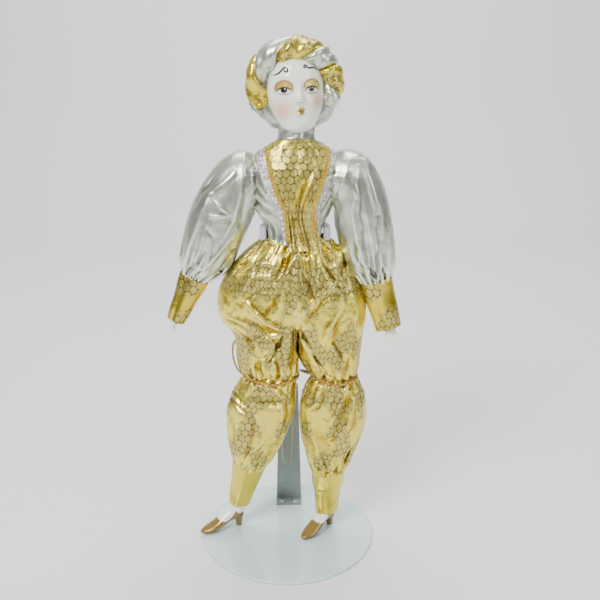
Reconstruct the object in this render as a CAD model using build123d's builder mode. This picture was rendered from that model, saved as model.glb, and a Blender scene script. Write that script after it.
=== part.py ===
from build123d import *
import os
from math import cos, radians, sin, tan

# Porcelain doll in a gold and silver costume, held round the waist by a metal doll stand.
# Millimetres, +Z up, origin at the centre of the base plate's underside. The doll faces -Y.
# Left and right are the doll's own: its right side is at -X.

os.makedirs("parts", exist_ok=True)

# ---------------------------------------------------------------- driving dimensions
GAP = 0.3  # between pieces that move against each other or are worn over each other
FAR = 300.0  # longer than any piece, for cutting tools

# stand
BASE_RADIUS = 70.0
BASE_THICKNESS = 2.5
BASE_EDGE_RADIUS = 0.8
POST_FRONT_Y = 46.0
POST_DEPTH = 6.0
POST_SHEET = 1.0
POST_FOOT_WIDTH = 22.0
POST_TOP_WIDTH = 16.4
POST_TOP_Z = 112.0
POST_TAB_LENGTH = 10.0
POST_TAB_THICKNESS = 1.2
BAR_WIDTH = 13.6
BAR_THICKNESS = 2.4
BAR_BOTTOM_Z = 20.0
BAR_TOP_Z = 268.0
RIVET_RADIUS = 1.5
RIVET_HEAD_RADIUS = 3.0
RIVET_HEAD_HEIGHT = 1.2

# waist clip
DOLL_X = 6.2  # the doll stands a little to the left of the stand's middle
CLIP_Z = 252.0
CLIP_HEIGHT = 8.0
CLIP_SHEET = 1.2
CLIP_HALF_WIDTH = 23.4
CLIP_CORNER_RADIUS = 13.0
CLIP_TIP_Y = -7.0
TIP_LENGTH = 14.0
TIP_FRONT = 9.0
TIP_THICKNESS = 5.0
TIP_HEIGHT = 10.4

# hinge lines of the soft joints, all parallel to X
HIP_Y, HIP_Z, HIP_RADIUS, HIP_SWING = 4.0, 208.0, 20.0, 60.0
KNEE_Y, KNEE_Z, KNEE_RADIUS, KNEE_SWING = 0.0, 128.0, 15.0, 40.0
ELBOW_Y, ELBOW_RADIUS, ELBOW_SWING = 1.0, 14.0, 70.0
SHOULDER_HALF_WIDTH = 33.6  # plane of each shoulder seam, from the doll's middle
CROTCH_X = 8.0  # plane of the trousers' middle seam

# cords
TIE_DIAMETER = 1.8
BOW_DIAMETER = 1.4
THREAD_DIAMETER = 1.0

# the stuffed body under the costume: z, half width, half depth
BODY = [
    (229, 20.0, 13.0),
    (240, 18.5, 13.0),
    (252, 17.0, 12.5),
    (262, 17.2, 12.8),
    (280, 23.5, 14.8),
    (296, 27.5, 15.2),
    (308, 26.5, 13.2),
    (316, 17.0, 10.8),
    (322, 10.2, 9.8),
]
# the silver bodice over it: z, half width, half depth
BODICE = [
    (250.8, 19.6, 15.2),
    (262, 19.8, 15.6),
    (280, 27.5, 18.5),
    (296, 33.5, 19.0),
    (308, 32.5, 16.5),
    (316, 22.0, 13.5),
    (322, 13.5, 12.2),
]
# the gathered seat of the trousers: x, y, z, half width, half depth
SEAT = [
    (4.0, 2.0, 204, 49.0, 27.0),
    (3.0, 2.0, 216, 46.5, 26.5),
    (3.5, 1.5, 228, 39.5, 24.0),
    (5.0, 1.0, 238, 32.0, 20.5),
    (6.2, 0.5, 246, 24.0, 17.0),
    (6.2, 0.0, 250.5, 19.6, 15.2),
]
SHOULDER_PLATE_Z = 300.0
NECK = (7.0, 2.0)
NECK_RADIUS = 8.5
PORCELAIN_WALL = 2.6

# head, turban
SKULL_CENTRE, SKULL_RADIUS, SKULL_HALF_HEIGHT = (7.0, 1.0, 360.0), 21.0, 23.5
JAW_CENTRE, JAW_RADIUS, JAW_HALF_HEIGHT = (8.8, -4.0, 350.5), 16.6, 20.0
CAP_CENTRE, CAP_RADIUS, CAP_THICKNESS = (6.6, 7.0, 359.0), 28.8, 3.3
RING_CENTRE, RING_RADIUS, ROLL_RADIUS, RING_LEAN = (6.2, 1.0, 360.0), 25.2, 8.6, 26.0

# each side's own measures, "right" at -X and "left" at +X
SIDES = {
    "right": {
        "sign": -1,
        "shoulder": (-30.0, 0.0, 297.0),
        "elbow": (-57.0, ELBOW_Y, 244.0),
        "cuff_top": (-69.6, -1.0, 221.4),
        "cuff_bottom": (-89.0, -3.0, 190.1),
        "fingertip": (-99.6, -5.0, 177.0),
        "cuff_radii": (11.6, 7.6),
        "thigh": [
            (-20.0, 3.0, 238, 24.0, 17.0),
            (-22.0, 3.0, 221, 27.5, 20.0),
            (-23.0, 3.0, 204, 28.4, 21.0),
            (-21.5, 3.0, 188, 26.5, 20.5),
            (-18.0, 2.0, 175, 22.5, 18.5),
            (-17.0, 1.0, 163, 22.0, 17.5),
            (-15.0, 0.0, 151, 20.5, 16.0),
            (-12.8, 0.0, 142, 18.2, 14.5),
            (-12.8, 0.0, 127, 18.0, 14.0),
        ],
        "calf": [
            (-13.0, 0.0, 146, 13.5, 14.0),
            (-14.0, 0.0, 136, 17.6, 15.0),
            (-18.5, 0.0, 126, 22.5, 15.0),
            (-21.6, 0.5, 114, 25.0, 15.0),
            (-24.0, 1.0, 98, 23.5, 15.0),
            (-26.5, 2.0, 83, 18.5, 14.5),
            (-30.2, 3.0, 60.8, 11.2, 11.2),
        ],
        "leg_top": (-14.0, 0.0, 136.0),
        "ankle_top": (-30.2, 3.0, 60.4),
        "ankle_bottom": (-40.7, 5.0, 26.0),
        "ankle_radii": (10.8, 8.4),
        "foot": (-42.0, 6.0),
        "toe_direction": (-28.6, -9.0),
        "tie": (-12.5, 0.0, 141.0),
        "tie_radii": (19.8, 15.8),
        "bow": [
            (-31.8, -3.4, 141.4),
            (-36.2, -4.2, 144.4),
            (-39.8, -4.0, 150.2),
            (-42.2, -2.6, 157.4),
            (-42.6, 0.4, 164.2),
            (-41.2, 4.2, 168.6),
            (-39.6, 8.6, 168.6),
            (-38.4, 11.8, 164.0),
            (-37.4, 12.2, 157.0),
            (-36.2, 10.6, 149.8),
            (-34.0, 7.4, 144.2),
            (-31.4, 4.2, 141.2),
        ],
    },
    "left": {
        "sign": 1,
        "shoulder": (42.4, 0.0, 297.0),
        "elbow": (59.8, ELBOW_Y, 240.0),
        "cuff_top": (67.0, -1.0, 219.5),
        "cuff_bottom": (77.4, -3.0, 184.6),
        "fingertip": (84.0, -5.0, 168.0),
        "cuff_radii": (12.2, 9.8),
        "thigh": [
            (27.0, 3.0, 238, 18.0, 17.0),
            (30.0, 3.0, 221, 21.6, 19.5),
            (33.0, 3.0, 204, 24.0, 21.0),
            (33.8, 3.0, 188, 25.0, 20.5),
            (33.6, 2.0, 175, 24.0, 18.5),
            (34.8, 1.0, 163, 21.3, 17.5),
            (36.6, 0.0, 151, 17.6, 16.0),
            (37.4, 0.0, 142, 14.4, 14.5),
            (37.4, 0.0, 127, 14.2, 14.0),
        ],
        "calf": [
            (37.4, 0.0, 146, 9.8, 14.0),
            (37.0, 0.0, 136, 15.0, 15.0),
            (36.6, 0.0, 126, 20.5, 15.0),
            (36.4, 0.5, 114, 24.6, 15.0),
            (36.0, 1.0, 100, 24.6, 15.0),
            (34.6, 2.0, 84, 20.0, 14.5),
            (32.9, 3.0, 56.8, 12.6, 11.6),
        ],
        "leg_top": (37.0, 0.0, 136.0),
        "ankle_top": (32.9, 3.0, 56.4),
        "ankle_bottom": (31.6, 5.0, 19.6),
        "ankle_radii": (12.2, 8.4),
        "foot": (31.8, 7.0),
        "toe_direction": (-21.5, -20.0),
        "tie": (37.4, 0.0, 141.0),
        "tie_radii": (15.6, 15.8),
        "bow": [
            (22.0, -3.2, 141.6),
            (18.4, -3.6, 145.0),
            (13.4, -1.0, 145.6),
            (10.4, 4.0, 144.0),
            (9.5, 10.4, 141.2),
            (10.8, 15.6, 138.2),
            (14.2, 18.6, 135.8),
            (18.6, 17.6, 134.8),
            (21.2, 13.4, 135.8),
            (22.2, 8.8, 138.4),
            (22.6, 4.8, 140.9),
        ],
    },
}
# a thread hanging in a narrow loop behind the legs, from the seat's lower back edge
THREAD = [
    (5.6, 27.2, 212.0),
    (6.3, 31.2, 197.0),
    (6.7, 33.2, 174.0),
    (6.2, 34.0, 147.0),
    (5.4, 34.3, 120.0),
    (4.3, 34.1, 94.0),
    (3.4, 34.2, 74.0),
    (2.8, 34.0, 60.0),
    (2.4, 34.0, 51.0),
    (2.1, 34.0, 46.2),
    (0.1, 34.0, 44.2),
    (-2.7, 34.0, 44.2),
    (-4.7, 34.0, 46.2),
    (-4.9, 34.0, 51.0),
    (-5.3, 34.0, 60.0),
    (-5.7, 34.2, 74.0),
    (-6.6, 34.1, 94.0),
    (-7.3, 34.4, 120.0),
    (-8.0, 34.0, 147.0),
    (-8.1, 33.2, 174.0),
    (-7.3, 31.2, 197.0),
    (-6.2, 27.2, 212.0),
]


# ---------------------------------------------------------------- shared shapes
def level_loft(sections, grow=0.0, mode=Mode.ADD):
    """Add a loft through level ellipses (x, y, z, half width, half depth) to the open part."""
    levels = []
    for x, y, z, half_width, half_depth in sections:
        with BuildSketch(Plane((x, y, z))) as level:
            Ellipse(half_width + grow, half_depth + grow)
        levels.append(level.sketch.face())
    loft(levels, ruled=True, mode=mode)


def centred(sections):
    """Put (z, half width, half depth) sections on the doll's middle line."""
    return [(DOLL_X, 0.0, z, half_width, half_depth) for z, half_width, half_depth in sections]


def round_loft(start, end, radii, mode=Mode.ADD):
    """Add a loft through evenly spaced circles between two points to the open part."""
    start, end = Vector(*start), Vector(*end)
    circles = []
    for index, radius in enumerate(radii):
        centre = start + (end - start) * (index / (len(radii) - 1))
        with BuildSketch(Plane(origin=centre, z_dir=end - start)) as section:
            Circle(radius)
        circles.append(section.sketch.face())
    loft(circles, mode=mode)


def spheroid(centre, radius, half_height, mode=Mode.ADD):
    """Add an upright spheroid, turned about its own vertical axis, to the open part."""
    with BuildSketch(Plane(origin=centre, x_dir=(1, 0, 0), z_dir=(0, -1, 0))) as half:
        Ellipse(radius, half_height)
        Rectangle(radius, 2 * half_height, align=(Align.MAX, Align.CENTER), mode=Mode.SUBTRACT)
    revolve(half.sketch, Axis(centre, (0, 0, 1)), mode=mode)


def keep_below_hinge(y, z, radius):
    """Trim the open part to a hinge cylinder along X and the slab that hangs under it."""
    with BuildSketch(Plane.YZ) as room:
        with Locations((y, z)):
            Circle(radius)
            Rectangle(2 * radius, FAR, align=(Align.CENTER, Align.MAX))
    extrude(room.sketch, amount=FAR, both=True, mode=Mode.INTERSECT)


def clear_hinge(y, z, radius, swing, forward):
    """Cut from the open part all that the piece under a hinge along X sweeps as it swings."""
    reach = radius + GAP
    side = -1 if forward else 1
    tangent = (y + side * reach * cos(radians(swing)), z + reach * sin(radians(swing)))
    edge = (
        tangent[0] + side * FAR * sin(radians(swing)),
        tangent[1] - FAR * cos(radians(swing)),
    )
    with BuildSketch(Plane.YZ) as swept:
        with BuildLine():
            Polyline(
                (y, z),
                tangent,
                edge,
                (y + side * FAR, z - FAR),
                (y - side * FAR, z - FAR),
                (y - side * FAR, z),
                close=True,
            )
        make_face()
        with Locations((y, z)):
            Circle(reach)
    extrude(swept.sketch, amount=FAR, both=True, mode=Mode.SUBTRACT)


def keep_side(x, sign):
    """Trim the open part to one side of an upright plane across X."""
    with BuildSketch(Plane.YZ.offset(x)) as side:
        Rectangle(2 * FAR, 4 * FAR)
    extrude(side.sketch, amount=sign * FAR, mode=Mode.INTERSECT)


def cord_tube(name, points, diameter):
    """Add a tube of straight runs and the largest arcs that fit them; print its arcs."""
    corners = [Vector(*point) for point in points]
    radii = []
    for before, corner, after in zip(corners, corners[1:], corners[2:]):
        run_in, run_out = corner - before, after - corner
        half_turn = radians(run_in.get_angle(run_out) / 2)
        radii.append(0.45 * min(run_in.length, run_out.length) / tan(half_turn))
    with BuildLine() as route:
        FilletPolyline(*points, radius=radii)
    path = route.wire()
    with BuildSketch(Plane(origin=path @ 0, z_dir=path % 0)) as section:
        Circle(diameter / 2)
    sweep(section.sketch, path=path)
    print(name, "length", round(path.length, 1), "radii", [round(radius, 1) for radius in radii])
    return section.sketch.area * path.length


# ---------------------------------------------------------------- stand
with BuildPart() as base_plate:
    with BuildSketch(Plane.XZ):
        Rectangle(BASE_RADIUS, BASE_THICKNESS, align=(Align.MIN, Align.MIN))
    revolve(axis=Axis.Z)
    rims = base_plate.edges().filter_by(GeomType.CIRCLE)
    fillet(rims, BASE_EDGE_RADIUS)
base_plate.part.label = "base_plate"
export_step(base_plate.part, "parts/base_plate.step")


def channel_outline(half_width):
    """Outline of the post's folded channel, open at the back between two lips."""
    back = POST_FRONT_Y + POST_DEPTH
    inner = half_width - POST_SHEET
    lip = half_width - 4.0
    Polyline(
        (-half_width, POST_FRONT_Y),
        (half_width, POST_FRONT_Y),
        (half_width, back),
        (lip, back),
        (lip, back - POST_SHEET),
        (inner, back - POST_SHEET),
        (inner, POST_FRONT_Y + POST_SHEET),
        (-inner, POST_FRONT_Y + POST_SHEET),
        (-inner, back - POST_SHEET),
        (-lip, back - POST_SHEET),
        (-lip, back),
        (-half_width, back),
        close=True,
    )


TAB_MIDDLE_Y = POST_FRONT_Y - POST_TAB_LENGTH / 2

with BuildPart() as stand_post:
    with BuildSketch(Plane.XY.offset(BASE_THICKNESS)):
        with BuildLine():
            channel_outline(POST_FOOT_WIDTH / 2)
        make_face()
    with BuildSketch(Plane.XY.offset(POST_TOP_Z)):
        with BuildLine():
            channel_outline(POST_TOP_WIDTH / 2)
        make_face()
    loft(ruled=True)
    with BuildSketch(Plane((0, POST_FRONT_Y + POST_SHEET, BASE_THICKNESS))):
        Rectangle(
            POST_FOOT_WIDTH,
            POST_TAB_LENGTH + POST_SHEET,
            align=(Align.CENTER, Align.MAX),
        )
    extrude(amount=POST_TAB_THICKNESS)
    with BuildSketch(Plane((0, TAB_MIDDLE_Y, BASE_THICKNESS))):
        with GridLocations(POST_FOOT_WIDTH / 2, 1, 2, 1):
            Circle(RIVET_RADIUS)
    extrude(amount=POST_TAB_THICKNESS, mode=Mode.SUBTRACT)
stand_post.part.label = "stand_post"
export_step(stand_post.part, "parts/stand_post.step")

with BuildPart() as post_rivets:
    with BuildSketch(Plane((0, TAB_MIDDLE_Y, BASE_THICKNESS))):
        with GridLocations(POST_FOOT_WIDTH / 2, 1, 2, 1):
            Circle(RIVET_RADIUS)
    extrude(amount=POST_TAB_THICKNESS)
    with BuildSketch(Plane((0, TAB_MIDDLE_Y, BASE_THICKNESS + POST_TAB_THICKNESS))):
        with GridLocations(POST_FOOT_WIDTH / 2, 1, 2, 1):
            Circle(RIVET_HEAD_RADIUS)
    extrude(amount=RIVET_HEAD_HEIGHT)
    fillet(post_rivets.faces().sort_by(Axis.Z)[-2:].edges(), 0.9)
post_rivets.part.label = "post_rivets"
export_step(post_rivets.part, "parts/post_rivets.step")

BAR_FRONT_Y = POST_FRONT_Y + POST_DEPTH / 2 - BAR_THICKNESS / 2
CLIP_MIDDLE_Z = CLIP_Z + CLIP_HEIGHT / 2

with BuildPart() as height_bar:
    with BuildSketch(Plane((0, BAR_FRONT_Y, 0), x_dir=(1, 0, 0), z_dir=(0, -1, 0))):
        with Locations((0, BAR_BOTTOM_Z)):
            Rectangle(BAR_WIDTH, BAR_TOP_Z - BAR_BOTTOM_Z, align=(Align.CENTER, Align.MIN))
        with Locations((0, CLIP_MIDDLE_Z)):
            Circle(RIVET_RADIUS, mode=Mode.SUBTRACT)
    extrude(amount=-BAR_THICKNESS)
    fillet(height_bar.edges().filter_by(Axis.Y).sort_by(Axis.Z)[-2:], 5.0)
height_bar.part.label = "height_bar"
export_step(height_bar.part, "parts/height_bar.step")

CLIP_BACK_Y = BAR_FRONT_Y - CLIP_SHEET / 2
with BuildPart() as waist_clip:
    with BuildLine(Plane.XY.offset(CLIP_MIDDLE_Z)) as clip_line:
        FilletPolyline(
            (DOLL_X - CLIP_HALF_WIDTH, CLIP_TIP_Y),
            (DOLL_X - CLIP_HALF_WIDTH, CLIP_BACK_Y),
            (DOLL_X + CLIP_HALF_WIDTH, CLIP_BACK_Y),
            (DOLL_X + CLIP_HALF_WIDTH, CLIP_TIP_Y),
            radius=CLIP_CORNER_RADIUS,
        )
    with BuildSketch(Plane(origin=clip_line.line @ 0, z_dir=clip_line.line % 0)):
        Rectangle(CLIP_SHEET, CLIP_HEIGHT)
    sweep(path=clip_line.line)
    with BuildSketch(Plane((0, BAR_FRONT_Y, CLIP_MIDDLE_Z), x_dir=(1, 0, 0), z_dir=(0, -1, 0))):
        Circle(RIVET_RADIUS)
    extrude(amount=2 * CLIP_SHEET, mode=Mode.SUBTRACT)
waist_clip.part.label = "waist_clip"
export_step(waist_clip.part, "parts/waist_clip.step")

with BuildPart() as clip_rivet:
    with BuildSketch(Plane((0, BAR_FRONT_Y - CLIP_SHEET, CLIP_MIDDLE_Z), z_dir=(0, 1, 0))):
        Circle(RIVET_RADIUS)
    extrude(amount=CLIP_SHEET + BAR_THICKNESS)
    for rivet_face_y, outward in (
        (BAR_FRONT_Y - CLIP_SHEET, -1),
        (BAR_FRONT_Y + BAR_THICKNESS, 1),
    ):
        with BuildSketch(Plane((0, rivet_face_y, CLIP_MIDDLE_Z), z_dir=(0, outward, 0))):
            Circle(RIVET_HEAD_RADIUS)
        extrude(amount=RIVET_HEAD_HEIGHT)
    fillet(clip_rivet.faces().sort_by(Axis.Y)[0].edges(), 0.9)
    fillet(clip_rivet.faces().sort_by(Axis.Y)[-1].edges(), 0.9)
clip_rivet.part.label = "clip_rivet"
export_step(clip_rivet.part, "parts/clip_rivet.step")

for side, data in SIDES.items():
    tip_x = DOLL_X + data["sign"] * CLIP_HALF_WIDTH
    with BuildPart() as clip_tip:
        with BuildSketch(Plane((tip_x, 0, CLIP_MIDDLE_Z), x_dir=(1, 0, 0), z_dir=(0, -1, 0))):
            RectangleRounded(TIP_THICKNESS, TIP_HEIGHT, 1.8)
        extrude(amount=TIP_FRONT)
        extrude(clip_tip.faces().sort_by(Axis.Y)[-1], amount=TIP_LENGTH - TIP_FRONT)
        fillet(clip_tip.faces().sort_by(Axis.Y)[0].edges(), 1.6)
        with BuildSketch(
            Plane((tip_x, CLIP_TIP_Y, CLIP_MIDDLE_Z), x_dir=(1, 0, 0), z_dir=(0, 1, 0))
        ):
            Rectangle(CLIP_SHEET, CLIP_HEIGHT)
        extrude(amount=FAR, mode=Mode.SUBTRACT)
    clip_tip.part.label = f"clip_tip_{side}"
    export_step(clip_tip.part, f"parts/clip_tip_{side}.step")


# ---------------------------------------------------------------- head and body
def head_solid(grow=0.0, mode=Mode.ADD):
    """Add the head's outer form, skull, jaw and neck, to the open part."""
    spheroid(SKULL_CENTRE, SKULL_RADIUS + grow, SKULL_HALF_HEIGHT + grow, mode)
    spheroid(JAW_CENTRE, JAW_RADIUS + grow, JAW_HALF_HEIGHT + grow, mode)
    with BuildSketch(Plane((*NECK, BODY[-1][0] - 4.0))) as neck:
        Circle(NECK_RADIUS + grow)
    extrude(neck.sketch, amount=JAW_CENTRE[2] - BODY[-1][0], mode=mode)


def half_space(z, above, mode=Mode.INTERSECT):
    """Trim the open part at a level plane."""
    with BuildSketch(Plane.XY.offset(z)) as level:
        Rectangle(2 * FAR, 2 * FAR)
    extrude(level.sketch, amount=FAR if above else -FAR, mode=mode)


with BuildPart() as porcelain_head:
    level_loft(centred(BODY), -GAP)
    half_space(SHOULDER_PLATE_Z, above=True)
    level_loft(centred(BODY), -GAP - PORCELAIN_WALL, Mode.SUBTRACT)
    head_solid()
    spheroid(
        SKULL_CENTRE,
        SKULL_RADIUS - PORCELAIN_WALL,
        SKULL_HALF_HEIGHT - PORCELAIN_WALL,
        Mode.SUBTRACT,
    )
    with BuildSketch(Plane((*NECK, SHOULDER_PLATE_Z))):
        Circle(NECK_RADIUS - PORCELAIN_WALL)
    extrude(amount=SKULL_CENTRE[2] - SHOULDER_PLATE_Z, mode=Mode.SUBTRACT)
porcelain_head.part.label = "porcelain_head"
export_step(porcelain_head.part, "parts/porcelain_head.step")

with BuildPart() as stuffed_body:
    level_loft(centred(BODY), -GAP)
    half_space(SHOULDER_PLATE_Z - GAP, above=False)
    clear_hinge(HIP_Y, HIP_Z, HIP_RADIUS, HIP_SWING, forward=True)
stuffed_body.part.label = "stuffed_body"
export_step(stuffed_body.part, "parts/stuffed_body.step")

RING_PLANE = Plane(
    origin=RING_CENTRE,
    x_dir=(1, 0, 0),
    z_dir=(0, -cos(radians(RING_LEAN)), -sin(radians(RING_LEAN))),
)


def roll_segment(start_angle, end_angle, radius):
    """Add a stretch of the turban's padded ring, by its angles round the face, to the part."""
    outward = RING_PLANE.x_dir * cos(radians(start_angle))
    outward += RING_PLANE.y_dir * sin(radians(start_angle))
    centre = Vector(*RING_CENTRE) + outward * RING_RADIUS
    with BuildSketch(Plane(origin=centre, z_dir=RING_PLANE.z_dir.cross(outward))) as disc:
        Circle(radius)
    ring_axis = Axis(RING_CENTRE, RING_PLANE.z_dir)
    revolve(disc.sketch, ring_axis, end_angle - start_angle)


GOLD_ROLLS = [(-16.0, 28.0), (62.0, 112.0), (150.0, 208.0)]
SILVER_ROLLS = [(28.0, 62.0), (112.0, 150.0)]
for name, spans in (("turban_gold_roll", GOLD_ROLLS), ("turban_silver_roll", SILVER_ROLLS)):
    with BuildPart() as turban_roll:
        for start_angle, end_angle in spans:
            roll_segment(start_angle, end_angle, ROLL_RADIUS)
        head_solid(GAP / 2, Mode.SUBTRACT)
    turban_roll.part.label = name
    export_step(turban_roll.part, f"parts/{name}.step")

with BuildPart() as turban_cap:
    with Locations(CAP_CENTRE):
        Sphere(CAP_RADIUS)
        Sphere(CAP_RADIUS - CAP_THICKNESS, mode=Mode.SUBTRACT)
    with BuildSketch(RING_PLANE.offset(-ROLL_RADIUS - GAP / 2)):
        Rectangle(4 * CAP_RADIUS, 4 * CAP_RADIUS)
    extrude(amount=-4 * CAP_RADIUS, mode=Mode.INTERSECT)
turban_cap.part.label = "turban_cap"
export_step(turban_cap.part, "parts/turban_cap.step")


# ---------------------------------------------------------------- bodice and its trims
def shoulder_slab():
    """Trim the open part to the slab between the two shoulder seams."""
    with BuildSketch(Plane((DOLL_X, 0, 0))) as slab:
        Rectangle(2 * SHOULDER_HALF_WIDTH, 2 * FAR)
    extrude(slab.sketch, amount=2 * FAR, mode=Mode.INTERSECT)


with BuildPart() as bodice:
    level_loft(centred(BODICE))
    level_loft(centred(BODY), 0.0, Mode.SUBTRACT)
    head_solid(GAP, Mode.SUBTRACT)
    shoulder_slab()
bodice.part.label = "bodice"
export_step(bodice.part, "parts/bodice.step")

# the front panel's edges at the neck, the chest and the waist: x of the right and left edge
PANEL_TOP, PANEL_MIDDLE, PANEL_BOTTOM = (321.5, -8.0, 25.0), (293.0, -6.4, 27.0), (251.2, 1.6, 21.8)
BRAID_WIDTH = 2.6
LACE_WIDTH = 5.0
LACE_BOTTOM_Z = 263.0


def panel_strip(right_outset, left_outset):
    """Outline between two lines that follow the panel's right and left edges."""
    rows = (PANEL_TOP, PANEL_MIDDLE, PANEL_BOTTOM)
    right_edge = [(right + right_outset, z) for z, right, left in rows]
    left_edge = [(left + left_outset, z) for z, right, left in reversed(rows)]
    Polyline(*right_edge, *left_edge, close=True)


def edge_strip(inner_outset, outer_outset, side):
    """Outline of a strip that runs beside one edge of the panel."""
    rows = (PANEL_TOP, PANEL_MIDDLE, PANEL_BOTTOM)
    column = 1 if side < 0 else 2
    inner = [(row[column] + side * inner_outset, row[0]) for row in rows]
    outer = [(row[column] + side * outer_outset, row[0]) for row in reversed(rows)]
    Polyline(*inner, *outer, close=True)


with BuildPart() as front_panel:
    level_loft(centred(BODICE), 1.3)
    level_loft(centred(BODICE), 0.1, Mode.SUBTRACT)
    with BuildSketch(Plane.XZ) as panel_outline:
        with BuildLine():
            panel_strip(0.0, 0.0)
        make_face()
    extrude(panel_outline.sketch, amount=FAR, mode=Mode.INTERSECT)
front_panel.part.label = "front_panel"
export_step(front_panel.part, "parts/front_panel.step")

for name, inner_outset, outer_outset, thickness, bottom_z in (
    ("gold_braids", 0.1, BRAID_WIDTH, 1.8, PANEL_BOTTOM[0]),
    ("lace_frills", BRAID_WIDTH + 0.1, BRAID_WIDTH + LACE_WIDTH, 1.5, LACE_BOTTOM_Z),
):
    with BuildPart() as trim:
        level_loft(centred(BODICE), thickness)
        level_loft(centred(BODICE), 0.1, Mode.SUBTRACT)
        with BuildSketch(Plane.XZ) as strips:
            with BuildLine():
                edge_strip(inner_outset, outer_outset, -1)
            make_face()
            with BuildLine():
                edge_strip(inner_outset, outer_outset, 1)
            make_face()
        extrude(strips.sketch, amount=FAR, mode=Mode.INTERSECT)
        half_space(bottom_z, above=True)
        shoulder_slab()
    trim.part.label = name
    export_step(trim.part, f"parts/{name}.step")

COLLAR = [(322.2, 13.4, 12.2), (328.0, 12.6, 11.6), (333.5, 12.8, 11.8)]
with BuildPart() as collar:
    level_loft([(*NECK, *section) for section in COLLAR])
    level_loft([(*NECK, *section) for section in COLLAR], -1.2, Mode.SUBTRACT)
    head_solid(GAP, Mode.SUBTRACT)
collar.part.label = "collar"
export_step(collar.part, "parts/collar.step")

with BuildPart() as trouser_seat:
    level_loft(SEAT)
    level_loft(centred(BODY), 0.0, Mode.SUBTRACT)
    clear_hinge(HIP_Y, HIP_Z, HIP_RADIUS, HIP_SWING, forward=True)
trouser_seat.part.label = "trouser_seat"
export_step(trouser_seat.part, "parts/trouser_seat.step")

with BuildPart() as thread_loop:
    wanted = cord_tube("thread_loop", THREAD, THREAD_DIAMETER)
    print("thread_loop volume", round(thread_loop.part.volume, 2), "of", round(wanted, 2))
thread_loop.part.label = "thread_loop"
export_step(thread_loop.part, "parts/thread_loop.step")

# ---------------------------------------------------------------- arms
UPPER_ARM_RADIUS = 8.0
FOREARM_RADII = (6.6, 6.2, 5.6, 4.8)
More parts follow.
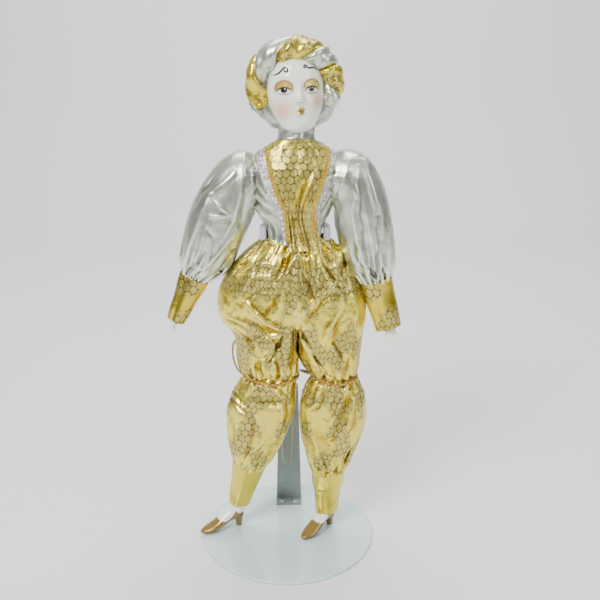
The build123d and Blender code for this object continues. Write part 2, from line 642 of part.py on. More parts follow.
# along the hand from the wrist: share of its length, half width, half thickness
HAND = [(0.0, 4.8, 4.6), (0.3, 5.2, 3.6), (0.6, 5.0, 3.0), (0.85, 3.6, 2.4), (1.0, 1.6, 1.2)]
SLEEVE_RADII = (12.0, 16.5, 19.0, 19.4, 18.6, 16.5)
SLEEVE_LOWER_RADII = (15.5, 15.5, 13.6)
FOREARM_CLEARANCE = 0.7
for side, data in SIDES.items():
    shoulder, elbow = Vector(*data["shoulder"]), Vector(*data["elbow"])
    cuff_top, cuff_bottom = Vector(*data["cuff_top"]), Vector(*data["cuff_bottom"])
    fingertip = Vector(*data["fingertip"])
    shoulder_seam_x = DOLL_X + data["sign"] * (SHOULDER_HALF_WIDTH + GAP)
    arm_line = (elbow - shoulder).normalized()
    sleeve_start = shoulder - arm_line * 15.0
    arm_start = shoulder - arm_line * 6.0

    with BuildPart() as upper_arm:
        round_loft(arm_start, elbow, (UPPER_ARM_RADIUS, UPPER_ARM_RADIUS))
        keep_side(shoulder_seam_x, data["sign"])
        clear_hinge(ELBOW_Y, elbow.Z, ELBOW_RADIUS, ELBOW_SWING, forward=True)
    upper_arm.part.label = f"upper_arm_{side}"
    export_step(upper_arm.part, f"parts/upper_arm_{side}.step")

    with BuildPart() as sleeve_upper:
        round_loft(sleeve_start, elbow, SLEEVE_RADII)
        keep_side(shoulder_seam_x, data["sign"])
        clear_hinge(ELBOW_Y, elbow.Z, ELBOW_RADIUS, ELBOW_SWING, forward=True)
        round_loft(
            arm_start - arm_line * 0.2,
            elbow + arm_line,
            (UPPER_ARM_RADIUS + 0.1, UPPER_ARM_RADIUS + 0.1),
            Mode.SUBTRACT,
        )
    sleeve_upper.part.label = f"sleeve_upper_{side}"
    export_step(sleeve_upper.part, f"parts/sleeve_upper_{side}.step")

    with BuildPart() as porcelain_arm:
        arm_sections = [
            (elbow + (cuff_bottom - elbow) * (index / len(FOREARM_RADII)), radius, radius)
            for index, radius in enumerate(FOREARM_RADII)
        ]
        arm_sections += [
            (cuff_bottom + (fingertip - cuff_bottom) * reach, half_width, half_thickness)
            for reach, half_width, half_thickness in HAND
        ]
        rings = []
        for centre, half_width, half_thickness in arm_sections:
            ring_plane = Plane(origin=centre, x_dir=(0, 1, 0), z_dir=cuff_bottom - cuff_top)
            with BuildSketch(ring_plane) as ring:
                Ellipse(half_width, half_thickness)
            rings.append(ring.sketch.face())
        loft(rings, ruled=True)
        keep_below_hinge(ELBOW_Y, elbow.Z, ELBOW_RADIUS)
    porcelain_arm.part.label = f"porcelain_arm_{side}"
    export_step(porcelain_arm.part, f"parts/porcelain_arm_{side}.step")

    forearm_room = [radius + FOREARM_CLEARANCE for radius in FOREARM_RADII]
    cuff_line = (cuff_bottom - cuff_top).normalized()
    with BuildPart() as sleeve_lower:
        round_loft(
            elbow - arm_line * ELBOW_RADIUS,
            cuff_top,
            (*SLEEVE_LOWER_RADII, data["cuff_radii"][0] - 0.4),
        )
        keep_below_hinge(ELBOW_Y, elbow.Z, ELBOW_RADIUS)
        round_loft(elbow - cuff_line * 3.0, cuff_bottom, forearm_room, Mode.SUBTRACT)
        with BuildSketch(Plane(origin=cuff_top - cuff_line * 0.2, z_dir=cuff_line)) as end_plane:
            Rectangle(FAR, FAR)
        extrude(end_plane.sketch, amount=FAR, mode=Mode.SUBTRACT)
    sleeve_lower.part.label = f"sleeve_lower_{side}"
    export_step(sleeve_lower.part, f"parts/sleeve_lower_{side}.step")

    top_radius, bottom_radius = data["cuff_radii"]
    with BuildPart() as wrist_cuff:
        round_loft(cuff_top, cuff_bottom, (top_radius, bottom_radius))
        round_loft(cuff_top, cuff_bottom, (top_radius - 1.4, bottom_radius - 1.4), Mode.SUBTRACT)
    wrist_cuff.part.label = f"wrist_cuff_{side}"
    export_step(wrist_cuff.part, f"parts/wrist_cuff_{side}.step")

# ---------------------------------------------------------------- legs
STUFFED_LEG_RADIUS = 11.0
LEG_RADII = (8.4, 8.2, 7.2, 5.8, 5.0)
FOOT_HEIGHT_GAP = 0.3
SOLE_Z = BASE_THICKNESS + FOOT_HEIGHT_GAP
# along the foot from the heel: distance, centre height above the sole, half width, half height
FOOT = [
    (0.0, 11.6, 3.6, 3.6),
    (7.0, 10.4, 5.2, 5.6),
    (16.0, 6.2, 5.6, 5.2),
    (24.0, 3.6, 4.8, 3.3),
    (29.5, 2.6, 2.6, 1.8),
]
HEEL_BEHIND_ANKLE = 4.5
HEEL_TIP_RADIUS, HEEL_TIP_HEIGHT, HEEL_TIP_AHEAD = 2.4, 10.0, 2.6
for side, data in SIDES.items():
    leg_top, ankle_top = Vector(*data["leg_top"]), Vector(*data["ankle_top"])
    ankle_bottom = Vector(*data["ankle_bottom"])
    foot_x, foot_y = data["foot"]
    toe_line = Vector(*data["toe_direction"], 0).normalized()
    heel = Vector(foot_x, foot_y, SOLE_Z) - toe_line * HEEL_BEHIND_ANKLE
    foot_top = Vector(foot_x, foot_y, SOLE_Z + 12.0)
    hip_top = (leg_top.X - 2.0 * data["sign"], HIP_Y, HIP_Z + HIP_RADIUS)
    knee_end = (data["tie"][0], KNEE_Y, KNEE_Z)

    with BuildPart() as stuffed_thigh:
        round_loft(hip_top, knee_end, (STUFFED_LEG_RADIUS, STUFFED_LEG_RADIUS))
        keep_below_hinge(HIP_Y, HIP_Z, HIP_RADIUS)
        clear_hinge(KNEE_Y, KNEE_Z, KNEE_RADIUS, KNEE_SWING, forward=False)
    stuffed_thigh.part.label = f"stuffed_thigh_{side}"
    export_step(stuffed_thigh.part, f"parts/stuffed_thigh_{side}.step")

    with BuildPart() as trouser_thigh:
        level_loft(data["thigh"])
        keep_side(CROTCH_X + data["sign"] * GAP, data["sign"])
        keep_below_hinge(HIP_Y, HIP_Z, HIP_RADIUS)
        clear_hinge(KNEE_Y, KNEE_Z, KNEE_RADIUS, KNEE_SWING, forward=False)
        round_loft(
            Vector(*hip_top) + Vector(0, 0, 1),
            Vector(*knee_end) - Vector(0, 0, 1),
            (STUFFED_LEG_RADIUS + 0.2, STUFFED_LEG_RADIUS + 0.2),
            Mode.SUBTRACT,
        )
    trouser_thigh.part.label = f"trouser_thigh_{side}"
    export_step(trouser_thigh.part, f"parts/trouser_thigh_{side}.step")

    with BuildPart() as porcelain_leg:
        round_loft(leg_top, foot_top, LEG_RADII)
        keep_below_hinge(KNEE_Y, KNEE_Z, KNEE_RADIUS)
        foot_levels = []
        for distance, height, half_width, half_height in FOOT:
            with BuildSketch(
                Plane(
                    origin=heel + toe_line * distance + Vector(0, 0, height),
                    x_dir=toe_line.cross(Vector(0, 0, 1)),
                    z_dir=toe_line,
                )
            ) as foot_level:
                Ellipse(half_width, half_height)
            foot_levels.append(foot_level.sketch.face())
        loft(foot_levels)
        with BuildSketch(Plane(heel + toe_line * HEEL_TIP_AHEAD)) as heel_tip:
            Circle(HEEL_TIP_RADIUS)
        extrude(heel_tip.sketch, amount=HEEL_TIP_HEIGHT)
    porcelain_leg.part.label = f"porcelain_leg_{side}"
    export_step(porcelain_leg.part, f"parts/porcelain_leg_{side}.step")

    leg_room = [radius + 0.3 for radius in LEG_RADII]
    with BuildPart() as trouser_calf:
        level_loft(data["calf"])
        keep_below_hinge(KNEE_Y, KNEE_Z, KNEE_RADIUS)
        round_loft(leg_top, foot_top, leg_room, Mode.SUBTRACT)
    trouser_calf.part.label = f"trouser_calf_{side}"
    export_step(trouser_calf.part, f"parts/trouser_calf_{side}.step")

    top_radius, bottom_radius = data["ankle_radii"]
    with BuildPart() as ankle_cuff:
        level_loft(
            [
                (*ankle_top, top_radius, top_radius),
                (*ankle_bottom, bottom_radius, bottom_radius),
            ]
        )
        round_loft(leg_top, foot_top, leg_room, Mode.SUBTRACT)
    ankle_cuff.part.label = f"ankle_cuff_{side}"
    export_step(ankle_cuff.part, f"parts/ankle_cuff_{side}.step")

    tie_centre, tie_radii = data["tie"], data["tie_radii"]
    with BuildPart() as knee_tie:
        with BuildLine(Plane(tie_centre)) as tie_line:
            EllipticalCenterArc((0, 0), *tie_radii, start_angle=0, arc_size=360)
        with BuildSketch(Plane(origin=tie_line.line @ 0, z_dir=tie_line.line % 0)):
            Circle(TIE_DIAMETER / 2)
        sweep(path=tie_line.line)
    knee_tie.part.label = f"knee_tie_{side}"
    export_step(knee_tie.part, f"parts/knee_tie_{side}.step")

    with BuildPart() as tie_bow:
        wanted = cord_tube(f"tie_bow_{side}", data["bow"], BOW_DIAMETER)
        print("volume", round(tie_bow.part.volume, 2), "of", round(wanted, 2))
    tie_bow.part.label = f"tie_bow_{side}"
    export_step(tie_bow.part, f"parts/tie_bow_{side}.step")
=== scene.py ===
import bpy
import bmesh
import math
import numpy as np
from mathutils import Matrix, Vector


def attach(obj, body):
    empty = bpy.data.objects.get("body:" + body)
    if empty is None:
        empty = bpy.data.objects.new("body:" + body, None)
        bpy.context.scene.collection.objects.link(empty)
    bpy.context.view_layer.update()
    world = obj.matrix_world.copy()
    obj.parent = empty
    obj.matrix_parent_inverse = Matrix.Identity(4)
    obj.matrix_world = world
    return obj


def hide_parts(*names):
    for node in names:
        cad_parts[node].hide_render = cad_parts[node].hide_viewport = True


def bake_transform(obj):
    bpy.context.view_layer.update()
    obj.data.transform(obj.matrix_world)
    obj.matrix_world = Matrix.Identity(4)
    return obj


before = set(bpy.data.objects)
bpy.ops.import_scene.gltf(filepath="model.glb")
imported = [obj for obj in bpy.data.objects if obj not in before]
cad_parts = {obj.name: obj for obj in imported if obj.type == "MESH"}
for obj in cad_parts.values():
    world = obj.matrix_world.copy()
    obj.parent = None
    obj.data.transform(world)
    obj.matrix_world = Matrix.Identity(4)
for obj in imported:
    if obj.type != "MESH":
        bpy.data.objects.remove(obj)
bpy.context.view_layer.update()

MM = 0.001
BACK, UP = np.array([0.0, 1.0, 0.0]), np.array([0.0, 0.0, 1.0])
SIDES = {"right": -1, "left": 1}


# ---- materials
def material(name, **sockets):
    """A new material and its Principled shader; nodes added from here on go into its tree."""
    global tree
    made = bpy.data.materials.new(name)
    made.use_nodes = True
    tree = made.node_tree
    shader = tree.nodes["Principled BSDF"]
    for key, value in sockets.items():
        shader.inputs[key.replace("_", " ")].default_value = value
    return made, shader


def add(kind, settings=None, **inputs):
    """A node with its settings and inputs; an input is a value or another node's output."""
    made = tree.nodes.new("ShaderNode" + kind)
    for key, value in (settings or {}).items():
        setattr(made, key, value)
    for key, value in inputs.items():
        socket = made.inputs[int(key[1:])] if key[0] == "_" else made.inputs[key.replace("_", " ")]
        if isinstance(value, bpy.types.NodeSocket):
            tree.links.new(value, socket)
        else:
            socket.default_value = value
    return made


def noise(where, scale, detail=2.0, rough=0.5, distortion=0.0):
    return add("TexNoise", Vector=where, Scale=scale, Detail=detail, Roughness=rough,
        Distortion=distortion).outputs["Fac"]


def ramp(fac, low, high, to_low=0.0, to_high=1.0):
    """fac taken smoothly from low..high to to_low..to_high."""
    return add("MapRange", {"interpolation_type": "SMOOTHSTEP"}, Value=fac, From_Min=low, From_Max=high,
        To_Min=to_low, To_Max=to_high).outputs[0]


def mix(fac, a, b):
    """Colour a at fac 0 and b at fac 1."""
    made = add("Mix", {"data_type": "RGBA"}, _0=fac)
    for index, value in ((6, a), (7, b)):
        if isinstance(value, bpy.types.NodeSocket):
            tree.links.new(value, made.inputs[index])
        else:
            made.inputs[index].default_value = (*value, 1.0)
    return made.outputs[2]


def maths(operation, a, b, c=0.0):
    return add("Math", {"operation": operation}, _0=a, _1=b, _2=c).outputs[0]


def vector(operation, *values, output=0):
    inputs = {f"_{index}": value for index, value in enumerate(values)}
    return add("VectorMath", {"operation": operation}, **inputs).outputs[output]


def bump(shader, *layers):
    """Stacks (height, strength, distance in metres) bumps under the shader's normal."""
    normal = None
    for height, strength, distance in layers:
        made = add("Bump", Height=height, Strength=strength, Distance=distance)
        if normal is not None:
            tree.links.new(normal, made.inputs["Normal"])
        normal = made.outputs[0]
    tree.links.new(normal, shader.inputs["Normal"])


def join_to(output, shader, name):
    tree.links.new(output, shader.inputs[name])


# how far the net's lines stray, in metres, and the proportions of a hexagon
STRAY, ROOT_3, HALF_ROOT_3 = 0.0052, 1.732, 0.866


def honeycomb(flat, size):
    """Distance to the edge of irregular rounded hexagons, 0 at an edge; flat is in metres."""
    loose = add("TexNoise", Vector=flat, Scale=75.0, Detail=1.0).outputs["Color"]
    shifted = vector("MULTIPLY_ADD", loose, (STRAY, STRAY, 0.0), flat)
    cells = vector("DIVIDE", shifted, (size, size, 1.0))
    spans, lengths = [], []
    for shift in (0.0, 0.5):
        moved = vector("ADD", cells, (60.0 + shift, 60.0 * ROOT_3 + shift * ROOT_3, 0.0))
        inside = vector("MODULO", moved, (1.0, ROOT_3, 1.0))
        spans.append(vector("SUBTRACT", inside, (0.5, HALF_ROOT_3, 0.0)))
        lengths.append(vector("LENGTH", spans[-1], output="Value"))
    nearer = maths("LESS_THAN", lengths[1], lengths[0])
    nearest = add("Mix", {"data_type": "VECTOR"}, _0=nearer, _4=spans[0], _5=spans[1]).outputs[1]
    folded = vector("ABSOLUTE", nearest)
    slanted = vector("DOT_PRODUCT", folded, (0.5, HALF_ROOT_3, 0.0), output="Value")
    level = add("SeparateXYZ", Vector=folded).outputs[0]
    straight = maths("SUBTRACT", 0.5, maths("MAXIMUM", slanted, level))
    round_off = maths("SUBTRACT", 0.54, maths("MINIMUM", lengths[0], lengths[1]))
    return maths("MULTIPLY_ADD", straight, 0.6, maths("MULTIPLY", round_off, 0.4))


def creased(where, scale):
    """Sharp-edged folds, as in crushed foil: 0 along each crease."""
    hills = noise(where, scale, 1.5, 0.45, 0.3)
    return maths("ABSOLUTE", maths("SUBTRACT", hills, 0.5), 0.0)


# the printed net's cell, in metres
NET_CELL = 0.0060


def lame(name, deep, mean, pale, net=0.0, rough=0.3, crinkle=1.0):
    """Metallised cloth: crushed-foil sheen over a fine weave, with a printed net where net > 0; folds get
    painted shade in their hollows and painted highlights on their crests.
    """
    made, shader = material(name, Metallic=0.9, Roughness=rough)
    coordinates = add("TexCoord")
    flat, solid = coordinates.outputs["UV"], coordinates.outputs["Object"]
    broad = noise(solid, 48.0, 2.0)
    fine = noise(solid, 380.0, 4.0, 0.6)
    crest = add("Attribute", {"attribute_name": "crest"}).outputs["Fac"]
    crest = maths("MULTIPLY_ADD", maths("SUBTRACT", fine, 0.5), 0.3 * crinkle, crest)
    tint = mix(ramp(broad, 0.36, 0.50, 0.45, 1.0), deep, mean)
    tint = mix(ramp(maths("MULTIPLY", broad, fine), 0.27, 0.40, 0.0, 0.4 * crinkle), tint, pale)
    # painted shade where the cloth sinks between folds (crest below 0), painted highlight where it stands
    # out in a fold (crest above 0)
    tint = mix(ramp(crest, -0.80, -0.18, 0.85, 0.0), tint, deep)
    tint = mix(ramp(crest, 0.25, 0.95, 0.0, 0.6), tint, pale)
    large, small = creased(solid, 62.0), creased(solid, 170.0)
    glossy = ramp(fine, 0.3, 0.7, rough - 0.06 * crinkle, rough + 0.09 * crinkle)
    if net > 0:
        edge = honeycomb(flat, NET_CELL)
        patch = ramp(noise(flat, 36.0, 1.0), 0.575 - 0.09 * net, 0.625 - 0.09 * net)
        worn = ramp(noise(flat, 210.0, 2.0), 0.38, 0.55)
        line = maths("MULTIPLY", ramp(edge, 0.048, 0.095, 1.0, 0.0), maths("MAXIMUM", worn, patch))
        line = maths("MULTIPLY", line, ramp(patch, 0.0, 1.0, 0.12, 0.95))
        inside = maths("MULTIPLY", ramp(edge, 0.07, 0.12), patch)
        tint = mix(maths("MULTIPLY", inside, 0.62), tint, (0.40, 0.345, 0.14))
        tint = mix(line, tint, (0.06, 0.045, 0.01))
        glossy = maths("ADD", glossy, maths("MULTIPLY", inside, 0.10))
        join_to(ramp(line, 0.0, 1.0, 0.9, 0.4), shader, "Metallic")
    join_to(tint, shader, "Base Color")
    join_to(glossy, shader, "Roughness")
    weave = add("TexWave", {"bands_direction": "DIAGONAL"}, Vector=flat, Scale=900.0,
        Distortion=0.5).outputs["Fac"]
    bump(shader, (large, 0.6 * crinkle, 0.0050), (small, 0.5 * crinkle, 0.0014),
        (fine, 0.10 * crinkle, 0.0003), (weave, 0.08, 0.0001))
    return made


def painted(name, colour, worn_colour, rough=0.2, coat=0.0, metallic=0.0, speck=300.0):
    """Enamel, vinyl or plated steel: slight mottling, fine orange peel and faint scuffs."""
    made, shader = material(name, Metallic=metallic, Roughness=rough, Coat_Weight=coat)
    solid = add("TexCoord").outputs["Object"]
    cloud = noise(solid, 30.0, 4.0, 0.6)
    peel = noise(solid, speck * 3, 3.0)
    scuff = noise(solid, speck, 6.0, 0.75, 1.5)
    tint = mix(ramp(cloud, 0.3, 0.7), colour, worn_colour)
    tint = mix(ramp(scuff, 0.66, 0.76, 0.0, 0.35), tint, tuple(0.55 * c for c in worn_colour))
    join_to(tint, shader, "Base Color")
    join_to(ramp(scuff, 0.35, 0.75, rough, rough + 0.16), shader, "Roughness")
    bump(shader, (peel, 0.06, 0.0002), (cloud, 0.05, 0.0015))
    return made


def twisted(name, dark, light, turns):
    """A twisted metallic cord or braid, with painted shade in the grooves between its plies; turns is how
    many plies show per metre.
    """
    made, shader = material(name, Metallic=0.8, Roughness=0.35)
    coordinates = add("TexCoord")
    ply = add("TexWave", {"bands_direction": "DIAGONAL", "wave_profile": "SIN"},
        Vector=coordinates.outputs["UV"], Scale=turns, Distortion=0.3).outputs["Fac"]
    fleck = noise(coordinates.outputs["Object"], 900.0, 3.0)
    # painted shade: darker in the grooves between the plies, lighter on their crowns, broken up by random
    # flecks
    tint = mix(ramp(maths("MULTIPLY", ply, fleck), 0.1, 0.42), dark, light)
    join_to(tint, shader, "Base Color")
    bump(shader, (ply, 0.8, 0.0006), (fleck, 0.4, 0.0002))
    return made


# in every lamé below, the deep colour is also painted shade between folds and the pale colour painted
# highlight on them
DEEP_GOLD, MID_GOLD, PALE_GOLD = (0.44, 0.27, 0.01), (0.82, 0.69, 0.09), (0.95, 0.85, 0.22)
GOLD = lame("gold_lame", DEEP_GOLD, MID_GOLD, PALE_GOLD, 1.0, 0.25)
GOLD_PANEL = lame("gold_lame_panel", DEEP_GOLD, MID_GOLD, PALE_GOLD, 2.3, 0.27, 0.8)
GOLD_CUFF = lame("gold_lame_cuff", DEEP_GOLD, (0.70, 0.54, 0.05), PALE_GOLD, 1.5, 0.18, 0.2)
GOLD_BAND = lame("gold_lame_band", DEEP_GOLD, (0.74, 0.59, 0.06), PALE_GOLD, 0.0, 0.22, 0.25)
GOLD_ROLL = lame("gold_lame_roll", DEEP_GOLD, (0.78, 0.63, 0.07), PALE_GOLD, 0.8, 0.22, 0.8)
SILVER = lame("silver_lame", (0.25, 0.28, 0.22), (0.60, 0.64, 0.53), (0.95, 0.96, 0.90), 0.0, 0.30, 0.26)
SATIN = lame("silver_satin", (0.24, 0.26, 0.23), (0.52, 0.55, 0.50), (0.90, 0.93, 0.91), 0.0, 0.34, 0.12)
# the darker colour of each cord is painted shade for the grooves between its plies
BRAID = twisted("gold_braid", (0.42, 0.25, 0.02), (0.95, 0.74, 0.14), 420.0)
CORD = twisted("gold_cord", (0.34, 0.17, 0.03), (0.85, 0.55, 0.16), 380.0)
THREAD = twisted("gold_thread", (0.42, 0.32, 0.14), (0.88, 0.78, 0.50), 700.0)
PLATE = painted("stand_enamel", (0.56, 0.71, 0.73), (0.60, 0.74, 0.76), 0.10, 0.6, 0.0, 120.0)
POST = painted("post_enamel", (0.20, 0.25, 0.25), (0.25, 0.31, 0.31), 0.24, 0.3, 0.0, 240.0)
VINYL = painted("vinyl", (0.46, 0.43, 0.55), (0.52, 0.50, 0.60), 0.38, 0.0, 0.0, 500.0)
STEEL = painted("steel", (0.55, 0.56, 0.57), (0.66, 0.67, 0.68), 0.28, 0.0, 0.9, 600.0)


def porcelain(name, from_paint):
    """Glazed white porcelain; with from_paint its colours come from the mesh's paint layer."""
    made, shader = material(name, Roughness=0.16, Coat_Weight=0.4, Coat_Roughness=0.06,
        Subsurface_Weight=0.06, Subsurface_Scale=0.004)
    solid = add("TexCoord").outputs["Object"]
    cloud = noise(solid, 90.0, 3.0)
    speck = noise(solid, 900.0, 3.0)
    white = mix(ramp(cloud, 0.35, 0.65), (0.90, 0.91, 0.83), (0.94, 0.945, 0.88))
    if from_paint:
        base = add("Attribute", {"attribute_name": "paint"}).outputs["Color"]
        tint = add("Mix", {"data_type": "RGBA", "blend_type": "MULTIPLY"}, _0=1.0)
        tree.links.new(white, tint.inputs[6])
        tree.links.new(base, tint.inputs[7])
        white = tint.outputs[2]
        gilt = add("Attribute", {"attribute_name": "gilt"}).outputs["Fac"]
        join_to(maths("MULTIPLY", gilt, 0.7), shader, "Metallic")
        join_to(ramp(gilt, 0.0, 1.0, 0.16, 0.34), shader, "Roughness")
    join_to(white, shader, "Base Color")
    bump(shader, (speck, 0.05, 0.0002), (cloud, 0.06, 0.001))
    return made


GLAZE = porcelain("porcelain", False)
PAINTED_GLAZE = porcelain("painted_porcelain", True)

ink, shader = material("painted_line", Roughness=0.35)
join_to(mix(noise(add("TexCoord").outputs["Object"], 700.0), (0.010, 0.009, 0.010), (0.035, 0.03, 0.03)),
    shader, "Base Color")

lace, shader = material("silver_lace", Metallic=0.45, Roughness=0.38, Sheen_Weight=0.3)
lace_uv = add("TexCoord").outputs["UV"]
lace_cell = add("TexVoronoi", {"feature": "F1"}, Vector=lace_uv, Scale=560.0)
lace_hue = noise(lace_uv, 300.0, 2.0)
lace_scroll = creased(lace_uv, 260.0)
lace_tint = mix(ramp(lace_hue, 0.40, 0.5), (0.88, 0.96, 0.72), (0.93, 0.92, 1.0))
lace_tint = mix(ramp(lace_hue, 0.5, 0.58), lace_tint, (1.0, 0.80, 0.78))
lace_tint = mix(ramp(lace_scroll, 0.02, 0.05, 0.7, 0.0), lace_tint, (0.34, 0.35, 0.31))
lace_tint = mix(ramp(lace_cell.outputs["Distance"], 0.42, 0.62, 0.0, 0.8), lace_tint, (0.40, 0.41, 0.37))
join_to(lace_tint, shader, "Base Color")
bump(shader, (lace_cell.outputs["Distance"], 0.9, 0.0007), (noise(lace_uv, 1500.0, 2.0), 0.4, 0.0002))


# ---- mesh helpers
def circle(count):
    """Angles spaced evenly round a full turn."""
    return np.linspace(0, 2 * math.pi, count, endpoint=False)


def limit(values):
    return np.clip(values, 0, 1)


def unit(line):
    return line / np.linalg.norm(line)


def hump(at, middle, wide):
    """A smooth rise to 1 at the middle, fading over wide."""
    return np.exp(-(((at - middle) / wide) ** 2))


def boxy(wave):
    """The wave with fuller crests and valleys."""
    return np.sign(wave) * np.abs(wave) ** 0.8


def read(table, at, column):
    """What a column of a table says at places along its first column."""
    table = np.asarray(table)
    return np.interp(at, table[:, 0], table[:, column])


def smooth_rows(rows, count):
    """count rows along a Catmull-Rom curve through the given rows of numbers."""
    rows = np.asarray(rows, float)
    ends = np.vstack([2 * rows[:1] - rows[1:2], rows, 2 * rows[-1:] - rows[-2:-1]])
    t = np.linspace(0, len(rows) - 1, count)
    k = np.minimum(t.astype(int), len(rows) - 2)
    f = (t - k)[:, None]
    a, b, c, d = ends[k], ends[k + 1], ends[k + 2], ends[k + 3]
    return 0.5 * (2 * b + (c - a) * f + (2 * a - 5 * b + 4 * c - d) * f**2 + (3 * b - a - 3 * c + d) * f**3)


def wander(points, size, seed, octaves=2):
    """Smooth repeatable noise of about -1..1 at each point; size is its grain in millimetres."""
    rng = np.random.default_rng(seed)
    total = np.zeros(points.shape[:-1])
    for octave in range(octaves):
        for _ in range(7):
            direction = rng.normal(size=3)
            direction *= 2 * math.pi / (size * 0.5**octave) / np.linalg.norm(direction)
            total += 0.5**octave * np.sin(points @ direction + rng.uniform(0, 2 * math.pi)) / 3.2
    return total


def new_object(name, data):
    made = bpy.data.objects.new(name, data)
    bpy.context.scene.collection.objects.link(made)
    return made


def build(name, points, quads, uv, paint, closed_form):
    """A smooth-shaded mesh object from millimetre points; uv holds one pair per face corner."""
    mesh = bpy.data.meshes.new(name)
    mesh.from_pydata((np.asarray(points).reshape(-1, 3) * MM).tolist(), [], [list(q) for q in quads])
    mesh.uv_layers.new(name="UVMap").data.foreach_set("uv", np.asarray(uv, np.float32).ravel())
    mesh.polygons.foreach_set("use_smooth", [True] * len(mesh.polygons))
    if closed_form:
        form = bmesh.new()
        form.from_mesh(mesh)
        bmesh.ops.recalc_face_normals(form, faces=form.faces)
        form.to_mesh(mesh)
        form.free()
    mesh.materials.append(paint)
    return new_object(name, mesh)


def grid(name, points, paint, body=None, closed=True, capped=False, thickness=0.0):
    """A surface through rows of points, with its real lengths as UVs."""
    points = np.asarray(points, float)
    rows, cols = points.shape[:2]
    wrapped = np.concatenate([points, points[:, :1]], 1) if closed else points
    across = np.linalg.norm(np.diff(wrapped, axis=1), axis=2).max(0)
    along = np.linalg.norm(np.diff(points, axis=0), axis=2).mean(1)
    u = np.concatenate([[0], np.cumsum(across)]) * MM
    v = np.concatenate([[0], np.cumsum(along)]) * MM
    i, j = np.indices((rows - 1, wrapped.shape[1] - 1)).reshape(2, -1)
    j2 = (j + 1) % cols
    quads = np.stack([i * cols + j, i * cols + j2, (i + 1) * cols + j2, (i + 1) * cols + j], 1)
    corners = ((j, i), (j + 1, i), (j + 1, i + 1), (j, i + 1))
    uv = np.stack([np.stack([u[a], v[b]], 1) for a, b in corners], 1)
    quads, uv = quads.tolist(), uv.reshape(-1, 2).tolist()
    points = points.reshape(-1, 3)
    if capped:
        for row in (0, rows - 1):
            ring = [row * cols + k for k in range(cols)]
            centre = len(points)
            points = np.vstack([points, points[ring].mean(0)])
            for k in range(cols):
                quads.append([ring[k], ring[(k + 1) % cols], centre])
                uv += [[u[k], v[row]], [u[k + 1], v[row]], [u[k], v[row] + 0.004]]
    made = build(name, points, quads, uv, paint, closed)
    if thickness:
        shell = made.modifiers.new("thickness", "SOLIDIFY")
        shell.thickness = thickness * MM
        shell.offset = 0.0
    if body:
        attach(made, body)
    return made


def rings(rows, cols):
    """Closed rings of points from rows of (x, y, z, half width, half depth), level in z."""
    angle = circle(cols)
    rows = np.asarray(rows, float)
    centre = rows[:, None, :3]
    offset = np.stack([rows[:, 3, None] * np.cos(angle), rows[:, 4, None] * np.sin(angle),
        np.zeros((len(rows), cols))], -1)
    return centre + offset


def tube_frames(line):
    """Unit tangent and two steady normals along a line of points."""
    tangent = np.gradient(line, axis=0)
    tangent /= np.linalg.norm(tangent, axis=1)[:, None]
    side = np.zeros_like(line)
    guess = np.array([0.0, 1.0, 0.0]) if abs(tangent[0, 1]) < 0.9 else np.array([1.0, 0.0, 0.0])
    for k, t in enumerate(tangent):
        guess = unit(guess - t * (guess @ t))
        side[k] = guess
    return tangent, side, np.cross(tangent, side)


def tube(name, line, radii, paint, body=None, cols=24, capped=True, flat=1.0):
    """A round tube round a line of points; radii is one number or one per point."""
    line = np.asarray(line, float)
    _, side, up = tube_frames(line)
    angle = circle(cols)
    radii = np.broadcast_to(np.asarray(radii, float), (len(line),))
    ring = (side[:, None] * np.cos(angle)[None, :, None] * flat
        + up[:, None] * np.sin(angle)[None, :, None]) * radii[:, None, None]
    return grid(name, line[:, None] + ring, paint, body, True, capped)


def outward(points):
    """Unit normals of closed rings, away from each ring's middle."""
    across = np.roll(points, -1, 1) - np.roll(points, 1, 1)
    normal = np.cross(across, np.gradient(points, axis=0))
    normal /= np.linalg.norm(normal, axis=2)[..., None] + 1e-9
    away = (normal * (points - points.mean(1, keepdims=True))).sum()
    return normal if away > 0 else -normal


def lifted(points, height):
    """Closed rings of points moved outward by a height at each point."""
    return points + outward(points) * height[..., None]


# cloth's length over the way it covers, and its greatest width over the ring it hangs on
SPARE, FULLEST = 1.03, 1.32


